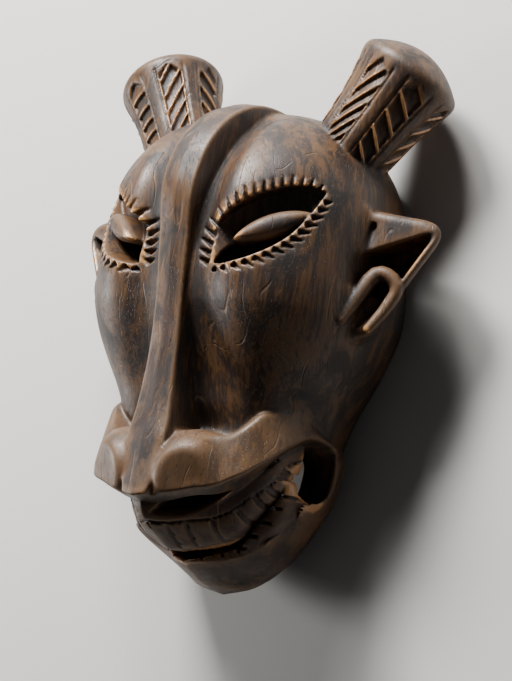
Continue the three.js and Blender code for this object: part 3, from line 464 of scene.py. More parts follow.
def under_roof(x, y, z):
    """What lies under the lip band's lower edge, rising slowly inwards."""
    angle = angle_to_side(x, z)
    inward = np.maximum(0, band_reach(angle) - np.hypot(x, z - WIDEST_LEVEL))
    return (y - band_low(angle) + ROOF_SLOPE * inward) * 0.9


def bowl(x, y, z):
    """Outside of the lower jaw: its side and its sloping front."""
    return shared(muzzle_side(x, y, z), (z - (prow(x, y) - JAW_BACK)) * 0.5, JAW_ROUNDING)


def jaw(x, y, z):
    """The bowl below its top level."""
    return shared(bowl(x, y, z), y - JAW_TOP, SOFT)


def before_jaw(x, y, z):
    """Space in front of the mouth's front and under the band's lower edge."""
    front = prow(x, y) - JAW_BACK + corner_rise(x) * ramp(*CORNER_LEVELS, y)
    return shared(under_roof(x, y, z), (front - z) * 0.5, EASED)


gum_level = smooth_line(GUM)
bite_up = smooth_line(BITE_UP)
bite_low = smooth_line(BITE_LOW)
lower_sink = smooth_line(LOWER_ROW_SINK)
lip_level = smooth_line(LIP_LOW)


def mouth(x, y, z):
    """Open space between the band and the lower lip: a floor, and a deeper throat inside it."""
    space = shared(under_roof(x, y, z), lip_level(x) - y, CRISP)
    walls = np.maximum(muzzle_side(x, y, z) + THROAT_WALL, x - THROAT_HALF)
    throat = shared(walls, (THROAT_FLOOR - z) * 0.7, EASED)
    return shared(space, join(throat, (MOUTH_FLOOR - z) * 0.7, EASED), SOFT)


def gaps(across, half):
    """Distance to the nearest of several upright gaps, from a list of distances across."""
    nearest = np.abs(across[0])
    for one in across[1:]:
        nearest = np.minimum(nearest, np.abs(one))
    return nearest - half


def carve(row, cuts, front):
    """A row of teeth with cuts made a little way back from its front face."""
    return np.maximum(row, -np.maximum(cuts, -(front + TOOTH_RELIEF)))


def upper_teeth(x, y, z):
    """Band behind the mouth's front from the gum to the biting edge, with leaning gaps."""
    face = prow(x, y)
    front = shared((z - face) * 0.55, muzzle_side(x, y, z) + ROW_INSET, SOFT)
    row = shared(front, bite_up(x) - y, CRISP)
    row = shared(row, y - gum_level(x) - GUM_DEPTH, EASED)
    row = shared(row, (face - ROW_DEPTH - z) * 0.55, EASED)
    under_gum = gum_level(x) - y
    leans = [min(max(TOOTH_LEAN * (place - UPRIGHT_TOOTH), LEAST_LEAN), MOST_LEAN)
             for place in UPPER_TEETH]
    between = gaps([x - p - lean * under_gum for p, lean in zip(UPPER_TEETH, leans)], TOOTH_CUT)
    cuts = np.minimum(shared(between, 1 - under_gum, 1), np.abs(under_gum) - 0.7)
    return carve(row, cuts, front)


def lower_teeth(x, y, z):
    """Row on the lower lip: a ledge that sinks below the bowl's surface from lip to biting edge."""
    lip = lip_level(x)
    rise = np.clip((y - lip) / np.maximum(bite_low(x) - lip, LEAST_RISE), 0, 1.2)
    front = bowl(x, y, z) + lower_sink(x) * rise
    row = shared(front, y - bite_low(x), CRISP)
    row = shared(row, lip - LOWER_ROW_FOOT - y, CRISP)
    base = LOWER_ROW_BASE[0] + (LOWER_ROW_BASE[1] - LOWER_ROW_BASE[0]) * ramp(*LOWER_ROW_TIP, y)
    row = shared(row, base - z, EASED)
    row = shared(row, -LOWER_ROW_DEPTH - front, EASED)
    between = gaps([x - place for place in LOWER_TEETH], TOOTH_CUT)
    beside = gaps([y - level for level in LOWER_GAP_LEVELS], TOOTH_CUT)
    between = np.minimum(between, shared(beside, LOWER_TEETH[-1] - x, 1))
    return carve(row, shared(between, lip + UNCUT_SHARE * (bite_low(x) - lip) - y, 1), front)


def bite_gap(x, y, z):
    """The open bite between the rows, deeper than the mouth's floor."""
    space = shared(y - bite_up(x) - 0.5, bite_low(x) - 0.5 - y, 1.5)
    return np.maximum(shared(space, x - BITE_REACH, EASED), MOUTH_FLOOR - z)


def frame_between(start, end, facing):
    """Middle, the three directions and the half length of a frame on the line between two points."""
    along = unit(end - start)
    across = unit(np.cross(along, facing))
    return (start + end) / 2, along, across, np.cross(across, along), np.linalg.norm(end - start) / 2


def in_frame(x, y, z, middle, *directions):
    """Distances from the middle along each direction."""
    px, py, pz = x - middle[0], y - middle[1], z - middle[2]
    return [px * a + py * b + pz * c for a, b, c in directions]


NOSTRIL_MIDDLE, *NOSTRIL_DIRECTIONS, NOSTRIL_REACH = frame_between(
    NOSTRIL_INNER, NOSTRIL_OUTER, NOSTRIL_FACING)


def nostril(x, y, z):
    """A pocket whose opening is a pointed leaf: its half width falls with the square along it."""
    s, t, q = in_frame(x, y, z, NOSTRIL_MIDDLE, *NOSTRIL_DIRECTIONS)
    half = NOSTRIL_HALF * np.clip(1 - (s / NOSTRIL_REACH) ** 2, 0, 1)
    leaf = shared(np.abs(t) - half, np.abs(s) - NOSTRIL_REACH, 1)
    return shared(shared(leaf, np.abs(q) - NOSTRIL_DEPTH, CRISP), SEPTUM_HALF - x, CRISP)


EYE_MIDDLE = (EYE_INNER + EYE_OUTER) / 2
EYE_REACH = np.linalg.norm(EYE_OUTER - EYE_INNER) / 2
EYE_ALONG = unit(EYE_OUTER - EYE_INNER)
EYE_UP = unit(np.cross(EYE_FACING, EYE_ALONG))
EYE_OUT = np.cross(EYE_ALONG, EYE_UP)
socket_depth = smooth_line(SOCKET_DEPTH)
upper_lid = smooth_line(UPPER_LID)
lower_lid = smooth_line(LOWER_LID)


def lid_levels(s):
    """Upper and lower edge of the eye opening along it."""
    return upper_lid(s), lower_lid(s)


def eye_socket(s, t, q):
    """The almond between the lids, down to a depth that changes from corner to corner."""
    upper, lower = lid_levels(s)
    lids = shared(t - upper, lower - t, CRISP) * 0.85
    return shared(shared(lids, np.abs(s) - EYE_REACH, 1), -socket_depth(s) - q, EASED)


def eye_pod(s, t, q):
    """Eyeball: a lens whose width and height both fall towards its ends."""
    from_middle = s - POD_MIDDLE[0]
    over_middle = t - POD_MIDDLE[1]
    along, up = from_middle + POD_TILT * over_middle, over_middle - POD_TILT * from_middle
    u = along / POD_HALF
    half = POD_WIDTH * np.clip(1 - u * u, 0, 1) ** 0.8
    r = along / (POD_HALF + POD_BLUNT_END)
    top = POD_HEIGHT * np.sqrt(np.clip(1 - r * r, 0, 1))
    e = up / np.maximum(half, 0.3)
    front = (q - top * np.sqrt(np.clip(1 - POD_ROUNDNESS * e * e, 0, 1))) * 0.8
    return shared(shared(front, (np.abs(up) - half) * 0.8, EASED), np.abs(along) - POD_HALF, 1)


slit_top = smooth_line(SLIT_TOP)


def eye_slit(s, t, q):
    """The opening to look through, under the eyeball: a long half moon through the wall."""
    gap = shared(t - slit_top(s), lower_lid(s) + SLIT_RIM - t, 1)
    ends = np.maximum(SLIT_ENDS[0] - s, s - SLIT_ENDS[1])
    return shared(shared(gap, ends, 1), np.abs(q - SLIT_CENTRE) - SLIT_HALF, CRISP)


def chip_lines():
    """Feet and tips of the chips round the eye, at equal steps of arc length along each lid.

    The upper ones start on the edge and point up the face, the lower ones start below the lid's
    smooth rim and lean outwards."""
    s = np.linspace(-EYE_REACH, EYE_REACH, 801)
    lines = []
    rows = zip(lid_levels(s), CHIP_COUNTS, CHIP_LENGTHS, CHIP_STARTS, CHIP_LEANS, (1, -1))
    for level, count, length, start, lean, side in rows:
        run = np.concatenate([[0], np.cumsum(np.hypot(np.diff(s), np.diff(level)))])
        places = np.linspace(0, run[-1], count + 2)[1:-1]
        foot_s, foot_t = np.interp(places, run, s), np.interp(places, run, level)
        slope = np.interp(places, run, np.gradient(level, s))
        size = np.hypot(1, slope)
        away = np.stack([-slope / size, 1 / size], 1) * side
        tangent = np.stack([1 / size, slope / size], 1)
        way = away * np.cos(lean) + tangent * np.sin(lean)
        shorter = 1 - 0.35 * np.abs(np.linspace(-1, 1, count)) ** 3
        foot = np.stack([foot_s, foot_t], 1) + away * start
        lines += [(foot[i], way[i], length * shorter[i]) for i in range(count)]
    return lines


CHIP_LINES = chip_lines()


def eye_chips(s, t):
    """Depth of the chips round the eye: each is a V, widest and deepest at its foot."""
    depth = np.zeros_like(s)
    for foot, way, length in CHIP_LINES:
        ds, dt = s - foot[0], t - foot[1]
        along = (ds * way[0] + dt * way[1]) / length
        across = np.abs(ds * way[1] - dt * way[0])
        half = 0.5 + 2.4 * np.clip(1 - along, 0, 1)
        shape = np.clip(1 - (across / half) ** 2, 0, 1) * (1 - 0.75 * np.clip(along, 0, 1))
        depth = np.maximum(depth, shape * ramp(-0.12, 0.05, along) * (1 - ramp(0.85, 1, along)))
    return CHIP_DEPTH * depth


HORN_SIDE = unit(np.cross(HORN_AXIS, [0, 0, 1]))
HORN_FRONT = np.cross(HORN_SIDE, HORN_AXIS)
horn_radius = smooth_line(HORN_RADIUS)


def horn(x, y, z, left):
    """A flaring round bar with a domed end and seven notched strips, told apart by the angle
    round its axis; each strip's cuts repeat along a slanted line and widen with the horn."""
    t, u, v = in_frame(x, y, z, HORN_FOOT, HORN_AXIS, HORN_SIDE, HORN_FRONT)
    r = np.hypot(u, v)
    end = HORN_LENGTH + HORN_DOME * (1 - (r / HORN_TOP_RADIUS) ** 2)
    plain = shared(r - horn_radius(t), (t - end) * 0.8, 5) * 0.95
    first = np.where(left, STRIP_FIRST[1], STRIP_FIRST[0])
    turn = (first - np.degrees(np.arctan2(v, u)) + 720) / 360 * STRIP_COUNT
    strip = np.floor(turn + 0.5)
    sideways = (turn - strip) * 360 / STRIP_COUNT / STRIP_HALF
    number = np.mod(strip, STRIP_COUNT).astype(int)
    cuts = np.where(left[..., None], LEFT_CUTS[number], RIGHT_CUTS[number])
    step, growth, slant, boxes = [cuts[..., k] for k in range(4)]
    place = np.log1p(growth * np.maximum(t + slant * sideways + 30, 0) / step) / growth
    part = place - np.floor(place)
    steps = part / 0.84 * (1 - ramp(0.84, 0.95, part))
    between_ribs = ramp(0.07, 0.15, part) * (1 - ramp(0.85, 0.93, part))
    top = HORN_LENGTH - 6 - 9 * np.abs(sideways)
    inside = (1 - ramp(0.84, 0.98, np.abs(sideways))) * ramp(-14, -8, t)
    inside = inside * (1 - ramp(-1.5, 1.5, t - top))
    depth = np.where(boxes > 0.5, between_ribs, steps) * inside * HORN_CUT_DEPTH
    border = (np.abs(sideways) - 1.14) * STRIP_HALF * 0.7
    line = np.exp(-border * border) * (1 - ramp(-2, 4, t - top - 8))
    return plain + (depth + LINE_DEPTH * line) * np.exp(-np.abs(plain) / 8)


ear_groove = bent_bar(EAR_GROOVE, 6)
ear_channel = bent_bar(EAR_CHANNEL, 4)
ear_rib = bent_bar(EAR_RIB, 14)


def hollow(x, y, z):
    """Room for the wearer's face: a dome, the cheeks' bar and the chin's ellipsoid."""
    dome = square_dome(x, y, z, HOLLOW_DOME_CENTRE, HOLLOW_DOME_HALF)
    cheeks = tapered_bar(x, y, z, HOLLOW_TOP, HOLLOW_LOW, HOLLOW_TOP[3], HOLLOW_LOW[3])
    chin = ellipsoid(x, y, z, HOLLOW_CHIN_CENTRE, HOLLOW_CHIN_HALF)
    return join(join(dome, cheeks, HOLLOW_ROUNDING), chin, HOLLOW_ROUNDING)


def adze_marks(side, y, z):
    """Uneven facets of the outside: products of slow waves whose phases bend with height."""
    first = np.sin(side / 8.5 + 1.4 * np.sin(y / 33)) * np.sin(y / 19 + 1.1 * np.sin(side / 27 + 1))
    second = np.sin((side + z) / 13 + y / 41 + 2) * np.sin(y / 11 - z / 29)
    return ADZE_DEPTH * (0.6 * first + 0.4 * second)


def gouge_marks(side, y, z):
    """Rows of shallow scoops in the hollow: rounded troughs across, repeated along the grain."""
    row = (side + 0.35 * z) / GOUGE_STEP + 0.25 * np.sin(y / 37)
    along = y / (GOUGE_STEP * 2.1) + 0.5 * np.floor(row) + 0.2 * np.sin(side / 21)
    across = row - np.floor(row) - 0.5
    length = along - np.floor(along) - 0.5
    return GOUGE_DEPTH * (1 - 2.2 * across * across - 1.6 * length * length)


def lip_marks(x, y, z):
    """Fine upright tool marks on the lower lip's front: two ripples of unequal spacing."""
    ripple = np.sin(x * 2.3 + 0.6 * np.sin(y / 4)) + np.sin(x * 1.37 + 1)
    patch = ramp(14, 24, x) * (1 - ramp(56, 66, x)) * ramp(95, 105, z)
    return 0.28 * ripple * patch * (1 - ramp(-4, -1, y - lip_level(x))) * ramp(-2, 2, y + 196)


def where(inside, form, wood, *point):
    """The form worked out only at the points that are inside, the wood kept elsewhere."""
    if not inside.any():
        return wood
    wood = wood.copy()
    wood[inside] = form(wood[inside], *[one[inside] for one in point])
    return wood


def uncut_block(x, y, z):
    """Head with its valleys, muzzle and ridge, before anything is cut into it."""
    wood = head(x, y, z) + valley(x, y, z)
    wood = where(y < MOUTH_BELOW, with_muzzle, wood, x, y, z)
    return join(wood, ridge(x, y, z), CRISP)


def with_muzzle(wood, x, y, z):
    """Jaw, muzzle and nose lobes added, the cheek set back above the lip band's edge."""
    angle = angle_to_side(x, z)
    above = np.maximum(y - band_top(angle), 0)
    on_side = ramp(*BAND_STEP_STARTS, angle) * (1 - ramp(*BAND_STEP_ENDS, angle))
    wood = wood + BAND_STEP * on_side * np.exp(-above / BAND_STEP_FADE)
    wood = join(wood, jaw(x, y, z), SOFT)
    wood = join(wood, muzzle(x, y, z), MUZZLE_JOINT)
    return join(wood, nose_lobe(x, y, z), MUZZLE_JOINT)


def with_mouth(wood, x, y, z):
    """Mouth and nostrils cut, the two rows of teeth left standing."""
    wood = wood + lip_marks(x, y, z)
    wood = cut(wood, before_jaw(x, y, z), CRISP)
    wood = cut(wood, mouth(x, y, z), CRISP)
    wood = join(wood, upper_teeth(x, y, z), 1)
    wood = join(wood, lower_teeth(x, y, z), 1)
    return cut(wood, nostril(x, y, z), 1.5)


def with_ear(wood, x, y, z):
    """Leaf of the ear, its cup, the two channels and the bent rib."""
    wood = join(wood, inside_planes(x, y, z, EAR_PLANES), ROUNDED)
    wood = cut(wood, inside_planes(x, y, z, CUP_PLANES), CRISP)
    wood = cut(wood, join(ear_groove(x, y, z), ear_channel(x, y, z)), CRISP)
    return join(wood, ear_rib(x, y, z), 1.5)


def with_eye(wood, x, y, z):
    """Socket, slit, eyeball and the chips round the lids."""
    s, t, q = in_frame(x, y, z, EYE_MIDDLE, EYE_ALONG, EYE_UP, EYE_OUT)
    near = (np.abs(s) < EYE_REACH + 14) & (np.abs(t) < 42) & (np.abs(wood) < 9)
    wood = where(near, lambda w, a, b: w + eye_chips(a, b), wood, s, t)
    wood = cut(wood, eye_socket(s, t, q), CRISP)
    wood = cut(wood, eye_slit(s, t, q), 1)
    return join(wood, eye_pod(s, t, q), 1)


def wall_room(x, y, z, block):
    """The hollow where it leaves at least the wall's thickness under the uncut block."""
    return shared(hollow(x, y, z), block + WALL, WALL_ROUNDING)


def mask(side, y, z):
    """The whole mask: head, ridge and muzzle, then horns and ears, the cuts and the hollow."""
    x = np.hypot(side, MIDDLE_ROUNDING)
    block = uncut_block(x, y, z)
    wood = block + adze_marks(side, y, z)
    wood = where(y < MOUTH_BELOW, with_mouth, wood, x, y, z)
    wood = where(y > HORN_ABOVE, lambda w, a, b, c, left: join(w, horn(a, b, c, left), EASED),
                 wood, x, y, z, side < 0)
    wood = where(x > EAR_BEYOND, with_ear, wood, x, y, z)
    wood = where((y > EYE_ABOVE[0]) & (z > EYE_ABOVE[1]), with_eye, wood, x, y, z)
    wood = cut(wood, wall_room(x, y, z, block) - gouge_marks(side, y, z), 4)
    wood = where(y < MOUTH_BELOW, lambda w, a, b, c: cut(w, bite_gap(a, b, c)), wood, x, y, z)
    return np.maximum(wood, -z)


def sampled_field():
    """The field on a grid: first at block centres, then at every corner of the blocks that the
    surface may cross; the other blocks only keep the sign of their side."""
    low, high = np.array(FIELD_LOW, float), np.array(FIELD_HIGH, float)
    blocks = np.ceil((high - low) / CELL / BLOCK).astype(int)
    index = np.indices(blocks).reshape(3, -1).T
    centres = (low + (index + 0.5) * BLOCK * CELL).astype(np.float32)
    middle = mask(*centres.T)
    coarse = np.where(middle < 0, -FAR, FAR).astype(np.float32).reshape(blocks)
    field = coarse.repeat(BLOCK, 0).repeat(BLOCK, 1).repeat(BLOCK, 2)
    corners = np.indices((BLOCK,) * 3).reshape(3, -1).T
    near = index[np.abs(middle) < NEAR_SURFACE * BLOCK * CELL]
    for some in np.array_split(near, len(near) // BLOCKS_AT_ONCE + 1):
        node = (some[:, None] * BLOCK + corners).reshape(-1, 3)
        field[tuple(node.T)] = mask(*(low + node * CELL).astype(np.float32).T)
    return field, low


def largest_skin(triangles, count):
    """The triangles of the largest connected skin: each point takes the smallest number among
    its neighbours, and numbers are followed down, until nothing changes."""
    a, b = np.concatenate([triangles[:, :2], triangles[:, 1:]]).T
    label = np.arange(count)
    while True:
        before = label.copy()
        lowest = np.minimum(label[a], label[b])
        np.minimum.at(label, a, lowest)
        np.minimum.at(label, b, lowest)
        label = label[label[label]]
        if np.array_equal(before, label):
            break
    of_triangle = label[triangles[:, 0]]
    names, sizes = np.unique(of_triangle, return_counts=True)
    return triangles[of_triangle == names[np.argmax(sizes)]]


def mesh_of(name, points, triangles):
    """A mesh from arrays of points and triangles, without the points that no triangle uses."""
    used, flat = np.unique(triangles, return_inverse=True)
    mesh = bpy.data.meshes.new(name)
    mesh.vertices.add(len(used))
    mesh.vertices.foreach_set("co", points[used].astype(np.float32).ravel())
    mesh.loops.add(len(flat.ravel()))
    mesh.loops.foreach_set("vertex_index", flat.ravel().astype(np.int32))
    mesh.polygons.add(len(triangles))
    mesh.polygons.foreach_set("loop_start", np.arange(0, triangles.size, 3, dtype=np.int32))
    mesh.polygons.foreach_set("use_smooth", np.ones(len(triangles), bool))
    mesh.update(calc_edges=True)
    mesh.validate()
    return mesh


def points_of(mesh, name="co"):
    """A vertex property of three numbers as an array."""
    values = np.empty(len(mesh.vertices) * 3, np.float32)
    mesh.vertices.foreach_get(name, values)
    return values.reshape(-1, 3)


def in_forms_frame(points):
    """Metres in the part's frame turned into the forms' millimetres."""
    return (points / MILLIMETRE + [0, MIDDLE_LEVEL, 0]).astype(np.float32)


def carved_skin():
    """The closed skin of the field in metres, thinned where it is flat."""
    field, low = sampled_field()
    grid = openvdb.FloatGrid(background=FAR)
    grid.copyFromArray(field)
    points, triangles, quads = grid.convertToPolygons(isovalue=0.0, adaptivity=0.0)
    every = np.concatenate([triangles[:, ::-1], quads[:, [2, 1, 0]], quads[:, [3, 2, 0]]])
    every = largest_skin(every, len(points))
    points = (points * CELL + low - [0, MIDDLE_LEVEL, 0]) * MILLIMETRE
    full = bpy.data.objects.new("full_skin", mesh_of("full_skin", points, every))
    bpy.context.scene.collection.objects.link(full)
    thin = full.modifiers.new("thin", "DECIMATE")
    thin.ratio = min(1, SKIN_TRIANGLES / len(every))
    result = full.evaluated_get(bpy.context.evaluated_depsgraph_get())
    mesh = bpy.data.meshes.new_from_object(result)
    bpy.data.objects.remove(full)
    mesh.name = "buffalo_mask_skin"
    return mesh


def add_values(mesh, name, values):
    """A number for each vertex, for the material to read."""
    mesh.attributes.new(name, "FLOAT", "POINT").data.foreach_set("value", values.astype(np.float32))


def add_wear(mesh):
    """How worn each vertex is, how much painted shade and dirt and how much painted highlight and
    wear it gets, how hidden it is, and whether it is on a tooth.

    The mean of the field at six points around, less the field itself, is more than nothing on an
    edge and less in a corner. The field out along the normal falls short of the distance gone
    where something stands before the surface; this gives painted shade with some dirt in recesses,
    and a painted shadow of the ridge with some dirt is added in the valley beside it. The snout's
    tan is wear and a painted highlight. The distances of snout, teeth and hollow tell which of
    them a vertex lies on."""
    place = in_forms_frame(points_of(mesh))
    normal = points_of(mesh, "normal")
    here = mask(*place.T)
    for name, reach in EDGE_REACHES:
        around = 0
        for step in np.vstack([np.eye(3), -np.eye(3)]) * reach:
            around = around + mask(*(place + step).astype(np.float32).T)
        add_values(mesh, name, (around / 6 - here) / reach)
    # Painted shade with some dirt: how far the field out along the normal falls short in recesses.
    shade_in_recess = 0
    for reach, weight in SHADE_REACHES:
        out = mask(*(place + normal * reach).astype(np.float32).T)
        shade_in_recess = shade_in_recess + weight * np.clip(1 - out / reach, 0, 1)
    x, y, z = np.abs(place[:, 0]), place[:, 1], place[:, 2]
    # Painted shadow of the ridge, with some dirt, on the upward facing valley beside it.
    ridge_shadow_zone = ramp(11, 16, x) * ramp(5, 16, valley(x, y, z)) * ramp(90, 40, y)
    add_values(mesh, "recess_shade_and_dirt", shade_in_recess + VALLEY_SHADOW_AND_DIRT * ridge_shadow_zone * (normal[:, 2] > 0))
    snout = np.abs(np.minimum(muzzle(x, y, z), nose_lobe(x, y, z)))
    # Snout and lip band: wear, and a painted highlight where they face the light.
    add_values(mesh, "snout_wear_and_highlight", ramp(4.0, 1.5, snout) * ramp(-60, -75, y) * ramp(70, 90, z))
    rows = np.minimum(upper_teeth(x, y, z), lower_teeth(x, y, z))
    add_values(mesh, "in_mouth", ramp(2.5, 1.0, np.abs(rows)))
    room = wall_room(x, y, z, uncut_block(x, y, z))
    hidden = ramp(3.0, 1.5, np.abs(room)) * ramp(6.0, 3.0, hollow(x, y, z))
    add_values(mesh, "inside", hidden * ramp(0.5, 0.1, normal[:, 2]))


def add_node(tree, kind, **sockets):
    """A node of the tree: plain words set its own properties, sockets named in_NUMBER or in_NAME
    take a value or another socket."""
    node = tree.nodes.new(kind)
    for name, value in sockets.items():
        if not name.startswith("in_"):
            setattr(node, name, value)
            continue
        key = name[3:]
        socket = node.inputs[int(key) if key.isdigit() else key.replace("_", " ")]
        if isinstance(value, bpy.types.NodeSocket):
            tree.links.new(value, socket)
        else:
            socket.default_value = value
    return node


def maths(tree, operation, first, second=0.5, third=0.5, clamp=False):
    """A maths node's result."""
    return add_node(tree, "ShaderNodeMath", operation=operation, use_clamp=clamp,
                    in_0=first, in_1=second, in_2=third).outputs[0]


def between(tree, value, low, high, to_low=0.0, to_high=1.0):
    """The value's place between low and high, smoothly, given out from to_low to to_high."""
    return add_node(tree, "ShaderNodeMapRange", interpolation_type="SMOOTHSTEP",
                    in_Value=value, in_1=low, in_2=high, in_3=to_low, in_4=to_high).outputs[0]


def blended(tree, share, first, second):
    """Two colours mixed by a share."""
    node = tree.nodes.new("ShaderNodeMix")
    node.data_type = "RGBA"
    for number, value in ((0, share), (6, first), (7, second)):
        socket = node.inputs[number]
        if isinstance(value, bpy.types.NodeSocket):
            tree.links.new(value, socket)
        else:
            socket.default_value = value
    return node.outputs[2]


def noise(tree, vector, scale, detail=3.0, roughness=0.55, distortion=0.0):
    """Cloudy values around a half."""
    return add_node(tree, "ShaderNodeTexNoise", in_Vector=vector, in_Scale=scale,
                    in_Detail=detail, in_Roughness=roughness, in_Distortion=distortion).outputs[0]


def stretched(tree, vector, size, turn=(0, 0, 0), place=(0, 0, 0)):
    """The place drawn out along each axis and turned."""
    return add_node(tree, "ShaderNodeMapping", in_Vector=vector, in_Location=place,
                    in_Rotation=turn, in_Scale=size).outputs[0]


def new_group(name, inputs, outputs):
    """An empty node group with named number or vector inputs and number outputs."""
    group = bpy.data.node_groups.new(name, "ShaderNodeTree")
    for socket, kind, value in inputs:
        made = group.interface.new_socket(socket, in_out="INPUT", socket_type=kind)
        if value is not None:
            made.default_value = value
    for socket in outputs:
        group.interface.new_socket(socket, in_out="OUTPUT", socket_type="NodeSocketFloat")
    return group, group.nodes.new("NodeGroupInput"), group.nodes.new("NodeGroupOutput")


def wood_grain_group():
    """Long streaks along the height, cloudy mottling between them, and short dark pores."""
    group, given, result = new_group(
        "wood_grain", [("Place", "NodeSocketVector", None), ("Fineness", "NodeSocketFloat", 1.0)],
        ["Streaks", "Mottle", "Pores"])
    place = add_node(group, "ShaderNodeVectorMath", operation="SCALE",
                     in_Vector=given.outputs["Place"], in_Scale=given.outputs["Fineness"]).outputs[0]
    bend = noise(group, place, 9.0, 2.0)
    bent = add_node(group, "ShaderNodeVectorMath", operation="MULTIPLY_ADD",
                    in_0=bend, in_1=(0.03, 0.0, 0.03), in_2=place).outputs[0]
    broad = noise(group, stretched(group, bent, (60, 7, 60)), 1.0, 4.0, 0.6)
    fine = noise(group, stretched(group, bent, (330, 22, 330)), 1.0, 3.0, 0.6)
    streaks = maths(group, "MULTIPLY_ADD", fine, 0.4, maths(group, "MULTIPLY", broad, 0.6))
    cloud = noise(group, stretched(group, bent, (34, 22, 34)), 1.0, 5.0, 0.62, 0.6)
    pores = noise(group, stretched(group, bent, (1500, 110, 1500)), 1.0, 2.0, 0.5)
    group.links.new(streaks, result.inputs["Streaks"])
    group.links.new(cloud, result.inputs["Mottle"])
    group.links.new(between(group, pores, 0.6, 0.72), result.inputs["Pores"])
    return group


def hair_lines_group():
    """Fine curved scratches: narrow bands where slow noises pass through a half, broken up."""
    group, given, result = new_group(
        "hair_lines", [("Place", "NodeSocketVector", None), ("Width", "NodeSocketFloat", 0.012)],
        ["Lines"])
    total = None
    for turn, offset, size in HAIR_LINES:
        placed = stretched(group, given.outputs["Place"], size, turn, (offset, offset, offset))
        slow = noise(group, placed, 1.0, 1.5, 0.35)
        off = maths(group, "ABSOLUTE", maths(group, "SUBTRACT", slow, 0.5))
        line = maths(group, "SUBTRACT", 1.0, maths(group, "DIVIDE", off, given.outputs["Width"]),
                     clamp=True)
        kept = between(group, noise(group, placed, 3.1, 2.0), 0.5, 0.6)
        line = maths(group, "MULTIPLY", line, kept)
        total = line if total is None else maths(group, "MAXIMUM", total, line)
    group.links.new(total, result.inputs["Lines"])
    return group


def attribute(tree, name):
    """A vertex value of the mesh."""
    return add_node(tree, "ShaderNodeAttribute", attribute_name=name).outputs["Fac"]


def patinated_wood():
    """Dark handled hardwood: black patina over ochre streaks, tan on the snout (wear with a painted
    highlight) and where edges are rubbed, reddish teeth, painted shade with matt dirt in the cuts
    and beside the ridge, hair scratches and pores; the hollow is drier and plainer."""
    material = bpy.data.materials.new("patinated_wood")
    material.use_nodes = True
    tree = material.node_tree
    shader = tree.nodes["Principled BSDF"]
    place = add_node(tree, "ShaderNodeTexCoord").outputs["Object"]
    grain = add_node(tree, "ShaderNodeGroup", node_tree=wood_grain_group(),
                     in_Place=place, in_Fineness=1.0)
    hairs = add_node(tree, "ShaderNodeGroup", node_tree=hair_lines_group(),
                     in_Place=place, in_Width=0.006)
    streaks, mottle, pores = [grain.outputs[k] for k in range(3)]
    lines = hairs.outputs[0]
    fine_edge, wide_edge = attribute(tree, "edge_fine"), attribute(tree, "edge_wide")
    recess_shade_and_dirt, inside = attribute(tree, "recess_shade_and_dirt"), attribute(tree, "inside")

    ochre = between(tree, streaks, 0.44, 0.57)
    colour = blended(tree, ochre, BROWN, OCHRE)
    patina = between(tree, mottle, 0.49, 0.62)
    colour = blended(tree, maths(tree, "MULTIPLY", patina, 0.9), colour, PATINA)
    clouds = noise(tree, stretched(tree, place, (45, 16, 45), place=(3, 1, 2)), 1.0)
    red = between(tree, clouds, 0.52, 0.66)
    colour = blended(tree, maths(tree, "MULTIPLY", red, 0.35), colour, RED_BROWN)

    # Tan on the snout: wear, and a painted highlight.
    streaky = between(tree, streaks, 0.35, 0.6, 0.3, 0.75)
    snout = maths(tree, "MULTIPLY", attribute(tree, "snout_wear_and_highlight"), streaky)
    colour = blended(tree, snout, colour, RUBBED)

    stained = maths(tree, "MULTIPLY", attribute(tree, "in_mouth"), 0.6)
    colour = blended(tree, stained, colour, TEETH)

    rubbed = maths(tree, "MULTIPLY_ADD", wide_edge, 1.6, fine_edge)
    uneven = maths(tree, "MULTIPLY_ADD", mottle, -0.5, rubbed)
    worn = between(tree, uneven, -0.12, 0.16)
    colour = blended(tree, maths(tree, "MULTIPLY", worn, 0.75), colour, RUBBED)
    colour = blended(tree, maths(tree, "MULTIPLY", pores, 0.5), colour, PATINA)
    colour = blended(tree, maths(tree, "MULTIPLY", lines, 0.35), colour, RUBBED)

    # Painted shade with some dirt: near black in recesses and in the ridge's shadow, kept off rubbed
    # edges; it also makes them matt.
    shade_and_dirt = between(tree, maths(tree, "MULTIPLY_ADD", rubbed, -0.8, recess_shade_and_dirt), 0.12, 0.5)
    colour = blended(tree, maths(tree, "MULTIPLY", shade_and_dirt, 0.8), colour, SHADE_AND_DIRT_COLOUR)
    raw = blended(tree, between(tree, streaks, 0.42, 0.62), RAW_DARK, RAW_LIGHT)
    colour = blended(tree, inside, colour, raw)
    tree.links.new(colour, shader.inputs["Base Color"])

    rough = between(tree, mottle, 0.35, 0.65, 0.20, 0.38)
    rough = maths(tree, "MULTIPLY_ADD", shade_and_dirt, 0.25, rough)
    rough = maths(tree, "MULTIPLY_ADD", inside, 0.3, rough, clamp=True)
    tree.links.new(rough, shader.inputs["Roughness"])
    shader.inputs["Specular IOR Level"].default_value = 0.5
    polished = maths(tree, "SUBTRACT", 1.0, maths(tree, "MAXIMUM", shade_and_dirt, inside), clamp=True)
    tree.links.new(maths(tree, "MULTIPLY", polished, 0.28), shader.inputs["Coat Weight"])
    shader.inputs["Coat Roughness"].default_value = 0.17

    height = maths(tree, "MULTIPLY_ADD", streaks, 0.5, maths(tree, "MULTIPLY", mottle, 0.35))
    height = maths(tree, "MULTIPLY_ADD", pores, -0.35, height)
    height = maths(tree, "MULTIPLY_ADD", lines, -0.5, height)
    bump = add_node(tree, "ShaderNodeBump", in_Strength=0.7, in_Distance=0.0008,
                    in_Height=height).outputs[0]
    tree.links.new(bump, shader.inputs["Normal"])
    return material


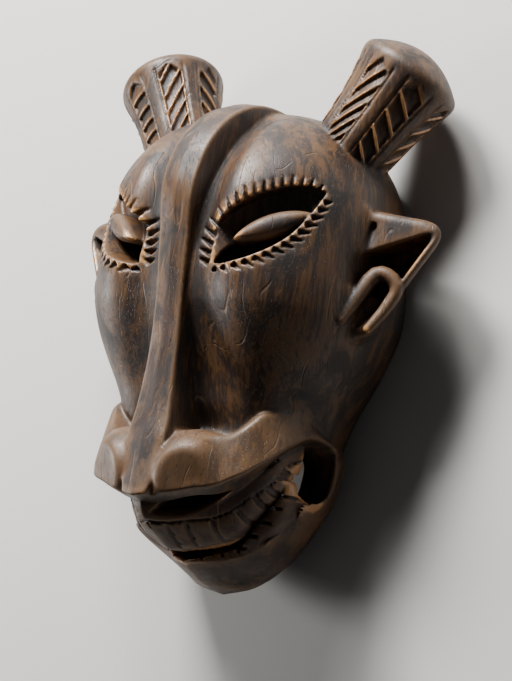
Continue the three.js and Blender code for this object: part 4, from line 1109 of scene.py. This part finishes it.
def plain_material(name, colour, roughness):
    """A plain finish with a faint mottling, for the floor."""
    material = bpy.data.materials.new(name)
    material.use_nodes = True
    tree = material.node_tree
    shader = tree.nodes["Principled BSDF"]
    place = add_node(tree, "ShaderNodeTexCoord").outputs["Object"]
    darker = tuple(0.94 * part for part in colour[:3]) + (1,)
    cloud = noise(tree, place, 3.0)
    tree.links.new(blended(tree, cloud, colour, darker), shader.inputs["Base Color"])
    shader.inputs["Roughness"].default_value = roughness
    return material


def square(name, half):
    """A flat square in the plane of the rim."""
    mesh = bpy.data.meshes.new(name)
    corners = np.array([[-1, -1, 0], [1, -1, 0], [1, 1, 0], [-1, 1, 0]], float) * half
    mesh.from_pydata(corners.tolist(), [], [(0, 1, 2, 3)])
    thing = bpy.data.objects.new(name, mesh)
    bpy.context.scene.collection.objects.link(thing)
    return thing


def soft_light(name, place, size, power):
    """A square light that faces the mask's middle."""
    light = bpy.data.lights.new(name, "AREA")
    light.size = size
    light.energy = power
    thing = bpy.data.objects.new(name, light)
    thing.location = place
    thing.rotation_mode = "QUATERNION"
    thing.rotation_quaternion = (Vector(LIT_POINT) - Vector(place)).to_track_quat("-Z", "Y")
    bpy.context.scene.collection.objects.link(thing)


floor = square("floor", FLOOR_HALF)
floor.data.materials.append(plain_material("pale_floor", FLOOR_COLOUR, 0.8))

for light in LIGHTS:
    soft_light(*light)
world = bpy.data.worlds.new("studio")
world.use_nodes = True
world.node_tree.nodes["Background"].inputs[0].default_value = STUDIO_GLOW
bpy.context.scene.world = world

camera = bpy.data.cameras.new("camera")
camera.sensor_fit = "VERTICAL"
camera.sensor_height = SENSOR
camera.lens = LENS
viewer = bpy.data.objects.new("camera", camera)
toward = np.cross(CAMERA_RIGHT, CAMERA_UP)
axes = np.stack([CAMERA_RIGHT, CAMERA_UP, toward, CAMERA_PLACE], 1)
viewer.matrix_world = Matrix(np.vstack([axes, [0, 0, 0, 1]]).tolist())
bpy.context.scene.collection.objects.link(viewer)
bpy.context.scene.camera = viewer

skin = carved_skin()
add_wear(skin)
skin.materials.clear()
skin.materials.append(patinated_wood())
mask_piece = bpy.data.objects.new("carved_mask", skin)
bpy.context.scene.collection.objects.link(mask_piece)
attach(mask_piece, "root")
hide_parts("buffalo_mask")
